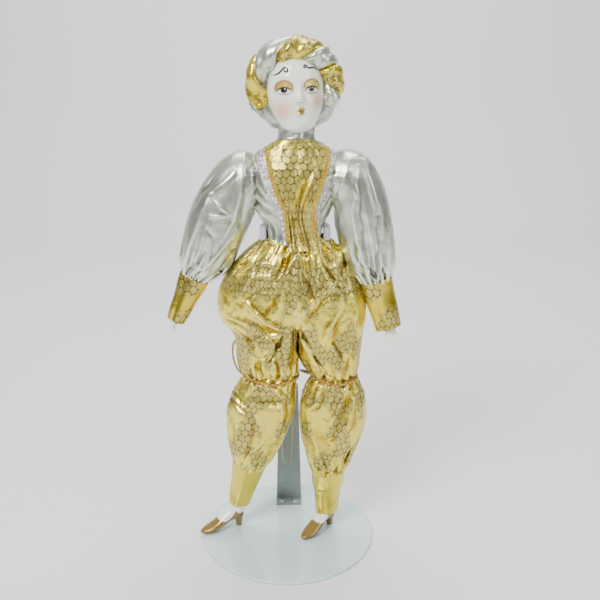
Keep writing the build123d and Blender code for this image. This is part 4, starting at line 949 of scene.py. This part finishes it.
for side, sign in SIDES.items():
    arm = {key: np.array(value) for key, value in ARMS[side].items()}
    sleeve_points = limb_rings(SLEEVES[side], 150, 220)
    sleeve = cloth_tube(f"sleeve_{side}", sleeve_points, SLEEVE_WIDTH, SILVER, 61 + sign,
        SLEEVE_FOLDS[side], 2.4, None, (0.15, 0.9), 21)
    elbow = Vector(arm["elbow"]) * MM
    line = (Vector(arm["top"]) * MM - elbow).normalized()
    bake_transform(sleeve)
    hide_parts(f"sleeve_upper_{side}", f"sleeve_lower_{side}", f"upper_arm_{side}")

    axis = unit(arm["bottom"] - arm["top"])
    across = unit(np.cross(axis, BACK))
    angle = circle(96)
    t = np.linspace(0, 1, 40)
    wide, narrow = ((11.6, 6.6), (8.8, 6.0)) if side == "right" else ((12.6, 9.6), (10.4, 7.6))
    half_wide = wide[0] * (1 - t) + wide[1] * t
    half_deep = narrow[0] * (1 - t) + narrow[1] * t
    centre = arm["top"] - axis * 0.6 + (arm["bottom"] - arm["top"] + axis * 1.2) * t[:, None]
    cuff_points = (centre[:, None] + across * (half_wide[:, None] * np.cos(angle))[..., None]
        + BACK * (half_deep[:, None] * np.sin(angle))[..., None])
    flat_fold = 0.9 * hump(angle, 4.75, 0.3) - 1.4 * hump(angle, 4.2, 0.35)
    dents = 0.3 * wander(cuff_points, 22.0, 70 + sign, 1) + flat_fold[None] * (0.6 + 0.4 * t[:, None])
    cuff_points = lifted(cuff_points, dents)
    cuff = grid(f"wrist_cuff_{side}_cloth", cuff_points, GOLD_CUFF, f"forearm_{side}", True, False, 0.7)
    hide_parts(f"wrist_cuff_{side}")

    hand_axis = arm["tip"] - arm["bottom"]
    reach = np.linalg.norm(hand_axis)
    hand_axis /= reach
    palm_line = smooth_rows([arm["elbow"], arm["top"], arm["bottom"] - axis * 6, arm["bottom"]
        + hand_axis * reach * 0.42], 60)
    palm_radius = smooth_rows([(6.4,), (6.0,), (4.4,), (4.0,)], 60)[:, 0]
    forms = [tube("palm", palm_line, palm_radius, GLAZE, None, 32, True, 0.8)]
    fan = unit(np.cross(hand_axis, BACK))
    knuckle = arm["bottom"] + hand_axis * reach * 0.30
    for spread, length, radius in FINGERS:
        finger = np.array([knuckle + fan * spread * 0.85, knuckle + fan * spread * 1.1
            + hand_axis * reach * length * 0.5 + BACK * -0.6, knuckle + fan * spread * 1.05
            + hand_axis * reach * length + BACK * 0.4])
        finger = smooth_rows(finger, 24)
        forms.append(tube("finger", finger, radius * np.linspace(1.15, 0.8, 24), GLAZE, None, 16))
    thumb = np.array([knuckle - fan * sign * 2.6, knuckle - fan * sign * 4.6 + hand_axis * 2.4, knuckle
        - fan * sign * 5.0 + hand_axis * 5.4])
    forms.append(tube("thumb", smooth_rows(thumb, 20), np.linspace(1.5, 1.0, 20), GLAZE, None, 16))
    hand = joined(forms)
    remesh = hand.modifiers.new("remesh", "REMESH")
    remesh.mode, remesh.voxel_size, remesh.use_smooth_shade = "VOXEL", 0.00034, True
    soften = hand.modifiers.new("soften", "SMOOTH")
    soften.factor, soften.iterations = 0.5, 5
    hand.name = f"porcelain_arm_{side}_form"
    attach(hand, f"forearm_{side}")
    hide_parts(f"porcelain_arm_{side}")

# ---- trousers
CROTCH_X = 8.0
# each station: outer x, inner x, z, half depth
THIGHS = {
    "right": [
        (-9.5, 20, 256, 12.4), (-14.6, 24, 251, 15.2), (-20.5, 29, 246, 17.6), (-30.5, 42, 238, 20.8),
        (-40, 52, 227, 23.2), (-47.6, 60, 215, 24.5), (-50.4, 62, 203, 25), (-48.6, 56, 190, 24),
        (-39.6, 36, 179, 21.5), (-37.2, 18, 169, 19.5), (-36.8, 9.6, 160, 18), (-35.6, 8.4, 151, 17),
        (-33.2, 6.8, 144.4, 15.6), (-31.4, 6.2, 140.4, 14.4),
    ],
    "left": [
        (20.4, -9, 256, 12.4), (26.6, -13, 251, 15.2), (32.6, -18, 246, 17.6), (40, -30, 238, 20.3),
        (46.6, -40, 227, 22.5), (53.4, -48, 214, 24.5), (57.4, -50, 201, 25), (57.6, -42, 189, 24),
        (56, -18, 179, 21.5), (55, 0, 169, 19.5), (54.2, 9, 160, 18), (53.4, 15, 151, 17),
        (52.4, 20.4, 144.4, 15.6), (51.4, 22.2, 140.4, 14.4),
    ],
}
CALVES = {
    "right": [
        (-30.4, 5.4, 143.4, 14), (-34.2, 4.6, 137.6, 16), (-39.6, 4.2, 129, 16.5), (-45, 3.8, 117, 17),
        (-46.6, 0.4, 102, 17), (-45.6, -6, 86, 15.5), (-42.8, -13.4, 71, 13.5), (-40.6, -20.2, 60, 10.6),
    ],
    "left": [
        (51, 23.8, 143.4, 14), (53.4, 20, 137.6, 16), (56.8, 15.8, 129, 16.5), (60, 12.2, 117, 17),
        (59.8, 11.8, 102, 17), (55.6, 14, 86, 15.5), (49, 18.2, 69, 13.5), (44.6, 21.2, 56, 11.4),
    ],
}
# each fold: height, width, then x and z of each point on its way
THIGH_FOLDS = {
    "right": [
        (-3.6, 2.4, 4, 253, 0.5, 245, -2.5, 234),
        (1.6, 1.6, 9, 251, 4, 238.5, -0.5, 227, -4, 211, -10, 196.5),
        (-2.4, 3, -4, 221, -9.5, 208.5, -15.5, 199),
        (2, 1.5, -2.5, 250, -14.5, 250, -24.5, 243.5, -32.5, 236), (-2, 1.6, -16, 252, -26, 240, -36, 229),
        (2.8, 1.7, -32, 209.5, -23, 199, -12, 191, 1.5, 186), (-3.4, 2, -30, 194, -14.5, 186, 3, 182),
        (2.6, 1.6, 1.5, 184, -14.5, 180, -26, 174, -32, 163), (1.6, 1.3, -46, 196, -37, 192, -30, 190),
        (-2.6, 1.6, -46, 190.5, -38, 187.5, -30, 184), (1.3, 1.3, -34, 213, -25, 225, -7, 228),
        (-1.2, 1.3, -34, 205, -22, 216, -8, 220), (1.2, 1.3, -32.5, 237.5, -20.5, 236, -7, 234),
        (-1.5, 1.5, -10, 176, -4, 166, -6, 152), (1.4, 1.3, -6, 180, 0, 168, -1, 154),
        (1.4, 1.4, -28, 166, -18, 160, -10, 148), (-1.6, 1.5, -26, 158, -20, 150, -18, 143),
        (1.4, 1.2, 7.4, 240, 7, 222, 6.4, 194), (-5, 2.6, 5.2, 189, 6.4, 178, 6.8, 158),
    ],
    "left": [
        (-3.2, 2, 26, 251, 29, 240.5, 34, 228), (3.2, 2.6, 31.5, 250, 41, 248, 38, 238.5, 33.5, 227),
        (-2.2, 1.6, 46, 246, 45, 236, 41, 226), (1.8, 1.5, 11.5, 199, 26, 215.5, 33, 219, 40.5, 222.5),
        (-1.8, 1.6, 14, 194, 27, 209, 36, 213), (1.5, 1.4, 34, 222.5, 40.5, 215.5, 42, 205),
        (2, 1.6, 37.5, 201.5, 31, 187, 27.5, 175), (-2, 2, 42, 200, 37, 186, 34, 172),
        (1.8, 1.5, 16, 171.5, 24.5, 163, 28.5, 152), (-2.2, 1.6, 19, 165, 25, 157, 27, 147),
        (1.4, 1.6, 47.5, 216.5, 52, 199, 50, 175), (1.3, 1.4, 20.5, 251, 19.5, 236, 20.5, 227),
        (-1.8, 1.5, 14.5, 251, 13.5, 240, 14.5, 230), (1.5, 1.5, 43, 168, 42, 156, 39, 145),
        (-1.8, 1.5, 48, 165, 46, 154, 44, 144), (1.4, 1.3, 11, 180, 14, 170, 20, 156),
        (-5, 2.6, 9.6, 189, 8.8, 178, 8.4, 158),
    ],
}
CALF_FOLDS = {
    "right": [
        (1.6, 1.4, -28.5, 142.5, -26, 128.5, -29, 119.5), (2.2, 1.3, -45, 129.5, -37.5, 123, -29, 118.5),
        (-2.2, 1.8, -44, 124.5, -36, 119, -31, 114), (1.6, 1.3, -24.5, 125.5, -10, 120.5, 0.5, 119.5),
        (-1.8, 1.8, -25, 130.5, -11, 126, 0, 125), (-3, 1.9, -29, 118, -27, 107.5, -29.5, 89, -36, 70),
        (1.6, 1.4, -17.5, 94.5, -27.5, 82.5, -35, 69.5), (1.4, 1, -19.5, 142.5, -9, 134.5, -3, 125.5),
        (-1.4, 1, -16, 142.5, -6, 136, 0, 129), (1.4, 1.2, -33.5, 140, -38.5, 132, -43, 131),
        (-2, 1.7, 0.5, 124, 0, 105, -8, 87.5), (1.2, 1.2, -3.5, 119.5, -5, 105, -11, 90),
        (1.5, 1.3, -38, 116, -38.5, 96, -39.5, 74), (-1.3, 1.4, -43, 110, -43, 90, -42, 72),
    ],
    "left": [
        (-3.4, 2.4, 50, 141, 48.5, 128.5, 40, 105, 33, 88), (2, 1.3, 45.5, 138.5, 38.5, 119.5, 33, 99.5),
        (2, 1.3, 51.5, 125.5, 46, 105, 37.5, 85), (1.8, 1.3, 26.5, 140, 22, 125.5, 13.5, 114),
        (-1.8, 1.4, 30.5, 140, 27, 128, 21, 118), (1.5, 1.1, 20.5, 138.5, 16.5, 128.5, 14, 121),
        (1.4, 1.1, 34.5, 140, 32.5, 129, 29, 121), (-1.5, 1.2, 38, 140, 36.5, 130, 33.5, 122),
        (1.7, 1.3, 22, 88, 25.5, 76, 29.5, 64), (-2.4, 1.4, 27, 82, 29, 72, 30.5, 62),
        (1.6, 1.2, 35.5, 79, 35.5, 70, 35, 62), (-2.2, 1.5, 49.5, 89, 46.5, 78, 43.5, 66),
        (1.5, 1.3, 57, 134.5, 59, 125.5, 55.5, 110), (-1.4, 1.4, 53.5, 118, 52.5, 108, 48, 96),
        (1.3, 1.3, 16, 112, 18, 98, 22, 88),
    ],
}


def one_side(sign):
    """Keeps cloth near its own side of the trousers' middle, so that the halves meet in a seam."""

    def keep(points):
        seam = CROTCH_X - sign * 0.9
        points[..., 0] = np.maximum(points[..., 0], seam) if sign > 0 else np.minimum(points[..., 0], seam)

    return keep


def even_rings(points):
    """The same rings with their points spaced evenly round each."""
    spaced = np.empty_like(points)
    share = np.linspace(0, 1, points.shape[1], endpoint=False)
    for row, ring in enumerate(points):
        closed = np.vstack([ring, ring[:1]])
        way = np.concatenate([[0], np.cumsum(np.linalg.norm(np.diff(closed, axis=0), axis=1))])
        spaced[row] = np.stack([np.interp(share * way[-1], way, closed[:, k]) for k in range(3)], 1)
    return spaced


for side, sign in SIDES.items():
    stations = [(outer, z, inner, z, deep) for outer, inner, z, deep in THIGHS[side]]
    points = limb_rings(stations, 150, 520)
    points[..., 1] += 1.6
    one_side(sign)(points)
    points = even_rings(points)[:, ::2]
    half = cloth_tube(f"trouser_{side}", points, TROUSER_WIDTH, GOLD, 80 + sign, THIGH_FOLDS[side], 3.0,
        one_side(sign), (1.4, 1.0), 25)
    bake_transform(half)
    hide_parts(f"trouser_thigh_{side}", f"stuffed_thigh_{side}")
    if side == "right":
        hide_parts("trouser_seat")

    stations = [(outer, z, inner, z, deep) for outer, inner, z, deep in CALVES[side]]
    calf_points = limb_rings(stations, 130, 220)
    calf_points[..., 1] += 1.0
    calf = cloth_tube(f"trouser_calf_{side}_cloth", calf_points, CALF_WIDTH, GOLD, 90 + sign,
        CALF_FOLDS[side], 2.6, None, (1.1, 0.9), 19)
    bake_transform(calf)
    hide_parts(f"trouser_calf_{side}")

# ---- ankle cuffs, legs and shoes
ANKLES = {"right": dict(top=(-30.0, 3.0, 65.4), bottom=(-40.2, 5.0, 25.0), radii=(14.4, 8.4),
    foot=(-44.0, 5.0), toe=(-28.6, -13.0)), "left": dict(top=(32.9, 3.0, 60.4), bottom=(31.8, 5.0, 18.0),
    radii=(12.6, 9.0), foot=(33.0, 6.0), toe=(-21.5, -23.0))}
SOLE_Z = 2.8
# middle and half length of a shoe's opening along the foot, and the painted leather's colour
OPENING, HALF_OPENING = 12.4, 8.8
LEATHER, HEEL_LEATHER = np.array([0.27, 0.17, 0.035]), [0.25, 0.155, 0.03]
# along the foot from the heel: distance, underside and top above the sole, half width
FOOT = [
    (-0.6, 10.6, 14.6, 1.6), (0.6, 9, 17.2, 3.8), (4, 7.6, 19.2, 5.2), (10, 6, 18.4, 5.4),
    (16, 3.2, 14.2, 5.5), (21.5, 1, 9.8, 6), (27, 0.2, 6.8, 5.8), (31.5, 0.2, 4.8, 4.4),
    (34.4, 0.6, 3.4, 2.3), (35.6, 1.2, 2.4, 0.7),
]
for side, sign in SIDES.items():
    data = ANKLES[side]
    top, bottom = np.array(data["top"]), np.array(data["bottom"])
    t = np.linspace(0, 1, 60)
    radius = data["radii"][0] * (1 - t) + data["radii"][1] * t
    if side == "left":
        radius = radius + 0.9 / (1 + np.exp((t - 0.44) / 0.008))
    centre = top + (bottom - top) * t[:, None]
    band = rings(np.c_[centre, radius, radius * 0.92], 110)
    flutes = 0.5 * np.sin(5 * circle(110) + sign)
    band = lifted(band, 0.3 * wander(band, 24.0, 130 + sign, 1) + flutes)
    ankle = grid(f"ankle_cuff_{side}_cloth", band, GOLD_BAND, f"lower_leg_{side}", True, False, 0.6)
    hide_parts(f"ankle_cuff_{side}")

    toe = unit(np.array([*data["toe"], 0.0]))
    cross = np.cross(UP, toe)
    heel = np.array([*data["foot"], SOLE_Z]) - toe * 4.5
    foot_rows = smooth_rows(FOOT, 70)
    angle = circle(64)
    middle = heel + toe * foot_rows[:, 0, None] + UP * ((foot_rows[:, 1] + foot_rows[:, 2]) / 2)[:, None]
    foot = (middle[:, None] + cross * (foot_rows[:, 3, None] * np.cos(angle))[..., None]
        + UP * ((foot_rows[:, 2] - foot_rows[:, 1])[:, None] / 2 * np.sin(angle))[..., None])
    share = foot_rows[:, 0, None]
    raised = np.sin(angle)[None]
    opening = limit(1 - ((share - OPENING) / HALF_OPENING) ** 2)
    rim = 1.25 - 1.4 * opening
    shoe = limit((rim - raised) / 0.16 + 0.5)
    foot_tint = (1 - shoe[..., None]) + LEATHER * shoe[..., None]
    foot_gilt = shoe * 0.6
    foot_form = grid(f"painted_foot_{side}", foot, PAINTED_GLAZE, None, True, True)
    tint = np.vstack([foot_tint.reshape(-1, 3), foot_tint[0, :1], foot_tint[-1, :1]])
    lay_paint(foot_form, tint, np.append(foot_gilt.ravel(), [0.8, 0.8]))
    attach(foot_form, f"lower_leg_{side}")

    heel_line = np.array([heel + toe * 2.4 + UP * 10.5, heel + toe * 2.0 + UP * 4.5, heel + toe * 1.8
        + UP * 0.1])
    heel_form = tube(f"shoe_heel_{side}", smooth_rows(heel_line, 24),
        np.interp(np.linspace(0, 1, 24), [0, 0.5, 1], [4.6, 2.9, 2.4]), PAINTED_GLAZE, None, 28)
    count = len(heel_form.data.vertices)
    lay_paint(heel_form, np.tile(HEEL_LEATHER, (count, 1)), np.full(count, 0.8))
    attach(heel_form, f"lower_leg_{side}")

    ankle_line = smooth_rows([top + UP * 42.0, top, bottom, heel + toe * 6.6 + UP * 13.0], 60)
    leg = tube(f"porcelain_leg_{side}_form", ankle_line,
        np.interp(np.linspace(0, 1, 60), [0, 0.8, 1], [7.6, 5.4, 3.2]), GLAZE, f"lower_leg_{side}", 48)
    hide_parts(f"porcelain_leg_{side}")

# ---- cords
# how far each of a tie's two plies runs from its middle line
PLY_APART = 0.62
TIES = {"right": ((-12.6, 0.6, 141.0), (20.9, 17.4)), "left": ((37.2, 0.6, 141.0), (16.9, 17.4))}
BOWS = {
    "right": [
        (-31.8, -3.4, 141.4), (-36.2, -4.2, 144.4), (-39.8, -4, 150.2), (-42.2, -2.6, 157.4),
        (-42.6, 0.4, 164.2), (-41.2, 4.2, 168.6), (-39.6, 8.6, 168.6), (-38.4, 11.8, 164),
        (-37.4, 12.2, 157), (-36.2, 10.6, 149.8), (-34, 7.4, 144.2), (-31.4, 4.2, 141.2),
    ],
    "left": [
        (22, -3.2, 141.6), (18.4, -3.6, 145), (13.4, -1, 145.6), (10.4, 4, 144), (9.5, 10.4, 141.2),
        (10.8, 15.6, 138.2), (14.2, 18.6, 135.8), (18.6, 17.6, 134.8), (21.2, 13.4, 135.8),
        (22.2, 8.8, 138.4), (22.6, 4.8, 140.9),
    ],
}
THREAD_ROUTE = [
    (5.6, 27.2, 212), (6.3, 31.2, 197), (6.7, 33.2, 174), (6.2, 34, 147), (5.4, 34.3, 120), (4.3, 34.1, 94),
    (3.4, 34.2, 74), (2.8, 34, 60), (2.4, 34, 51), (2.1, 34, 46.2), (0.1, 34, 44.2), (-2.7, 34, 44.2),
    (-4.7, 34, 46.2), (-4.9, 34, 51), (-5.3, 34, 60), (-5.7, 34.2, 74), (-6.6, 34.1, 94), (-7.3, 34.4, 120),
    (-8, 34, 147), (-8.1, 33.2, 174), (-7.3, 31.2, 197), (-6.2, 27.2, 212),
]


def cord_curve(name, route, diameter, paint, body):
    """A round cord along a smooth curve through its route, in the row frame."""
    curve = bpy.data.curves.new(name, "CURVE")
    curve.dimensions = "3D"
    curve.bevel_depth = diameter / 2
    curve.bevel_resolution = 5
    curve.resolution_u = 12
    line = curve.splines.new("NURBS")
    line.points.add(len(route) - 1)
    for point, place in zip(line.points, route):
        point.co = (*[value * MM for value in place], 1.0)
        point.radius = MM
    line.order_u = 3
    line.use_endpoint_u = True
    curve.materials.append(paint)
    made = new_object(name, curve)
    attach(made, body)
    return made


def route_length(made):
    """The measured length of a curve's centreline, in metres."""
    bevel, made.data.bevel_depth = made.data.bevel_depth, 0.0
    bpy.context.view_layer.update()
    line = made.evaluated_get(bpy.context.evaluated_depsgraph_get()).to_mesh()
    total = sum((line.vertices[e.vertices[0]].co - line.vertices[e.vertices[1]].co).length
        for e in line.edges)
    made.data.bevel_depth = bevel
    bpy.context.view_layer.update()
    return total


thread = cord_curve("thread_loop_cord", THREAD_ROUTE, 1.0, THREAD, "doll_body")
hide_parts("thread_loop")
route_length(thread)
for side, (centre, radii) in TIES.items():
    angle = circle(160)
    for strand_index, shift in enumerate((0.0, math.pi)):
        twist = 22 * angle + shift
        line = np.stack([centre[0] + (radii[0] + PLY_APART * np.cos(twist)) * np.cos(angle), centre[1]
            + (radii[1] + PLY_APART * np.cos(twist)) * np.sin(angle), centre[2] + PLY_APART * np.sin(twist)
            + 0.9 * np.sin(2 * angle + 1.0) + 0.5 * np.sin(5 * angle)], 1)
        line = np.vstack([line, line[:1]])
        name = f"knee_tie_{side}_cord" if strand_index == 0 else f"knee_tie_{side}_second_ply"
        ply = tube(name, line, 0.74, CORD, f"thigh_{side}", 10, False)
        if strand_index == 0:
            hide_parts(f"knee_tie_{side}")
    bow = cord_curve(f"tie_bow_{side}_cord", BOWS[side], 1.4, CORD, f"thigh_{side}")
    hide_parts(f"tie_bow_{side}")
    route_length(bow)

# ---- floor, light and camera
floor_rows = smooth_rows([(-2.2, 0.0), (0.0, 0.0), (0.9, 0.0), (1.25, 0.05), (1.5, 0.35), (1.6, 1.2),
    (1.6, 2.6)], 60) * 1000
floor_points = np.stack([np.broadcast_to(np.linspace(-2600, 2600, 40), (60, 40)),
    np.broadcast_to(floor_rows[:, :1], (60, 40)), np.broadcast_to(floor_rows[:, 1:], (60, 40))], -1)
paper, shader = material("backdrop_paper", Roughness=0.62)
paper_place = add("TexCoord").outputs["Object"]
join_to(mix(noise(paper_place, 1.6, 4.0), (0.74, 0.74, 0.745), (0.80, 0.80, 0.80)), shader, "Base Color")
bump(shader, (noise(paper_place, 240.0, 3.0), 0.05, 0.0004))
floor = grid("floor_and_backdrop", floor_points, paper, None, False)

world = bpy.data.worlds.new("studio")
bpy.context.scene.world = world
world.use_nodes = True
tree = world.node_tree
place = add("SeparateXYZ", Vector=add("TexCoord").outputs["Generated"])
sky = mix(ramp(place.outputs[2], -0.1, 0.75), (0.30, 0.31, 0.32), (0.95, 0.96, 0.98))
tree.links.new(sky, tree.nodes["Background"].inputs["Color"])
tree.nodes["Background"].inputs["Strength"].default_value = 0.6


def softbox(name, place, target, size, power, tint=(1.0, 1.0, 1.0)):
    light = bpy.data.lights.new(name, "AREA")
    light.shape, light.size, light.size_y = "RECTANGLE", size[0], size[1]
    light.energy, light.color = power, tint
    made = new_object(name, light)
    made.location = place
    made.rotation_euler = (Vector(target) - Vector(place)).to_track_quat("-Z", "Y").to_euler()


softbox("key", (-0.65, -0.95, 1.15), (0.0, 0.0, 0.2), (0.6, 0.45), 26.0, (1.0, 0.985, 0.96))
softbox("fill", (0.95, -0.75, 0.75), (0.0, 0.0, 0.2), (0.4, 0.8), 6.0, (0.96, 0.98, 1.0))
softbox("top", (0.1, 0.25, 1.5), (0.0, 0.0, 0.2), (1.0, 0.8), 10.5)
softbox("backdrop_wash", (0.0, 0.55, 1.7), (0.0, 1.5, 0.5), (1.8, 0.5), 26.0)

CAMERA_DROP = 16.91
camera = bpy.data.cameras.new("camera")
camera.lens, camera.sensor_width = 45.0, 36.0
camera.clip_start = 0.01
eye = new_object("camera", camera)
eye.location = (0.00992, -0.5466, 0.3691)
eye.rotation_euler = (math.radians(90 - CAMERA_DROP), 0.0, 0.0)
bpy.context.scene.camera = eye
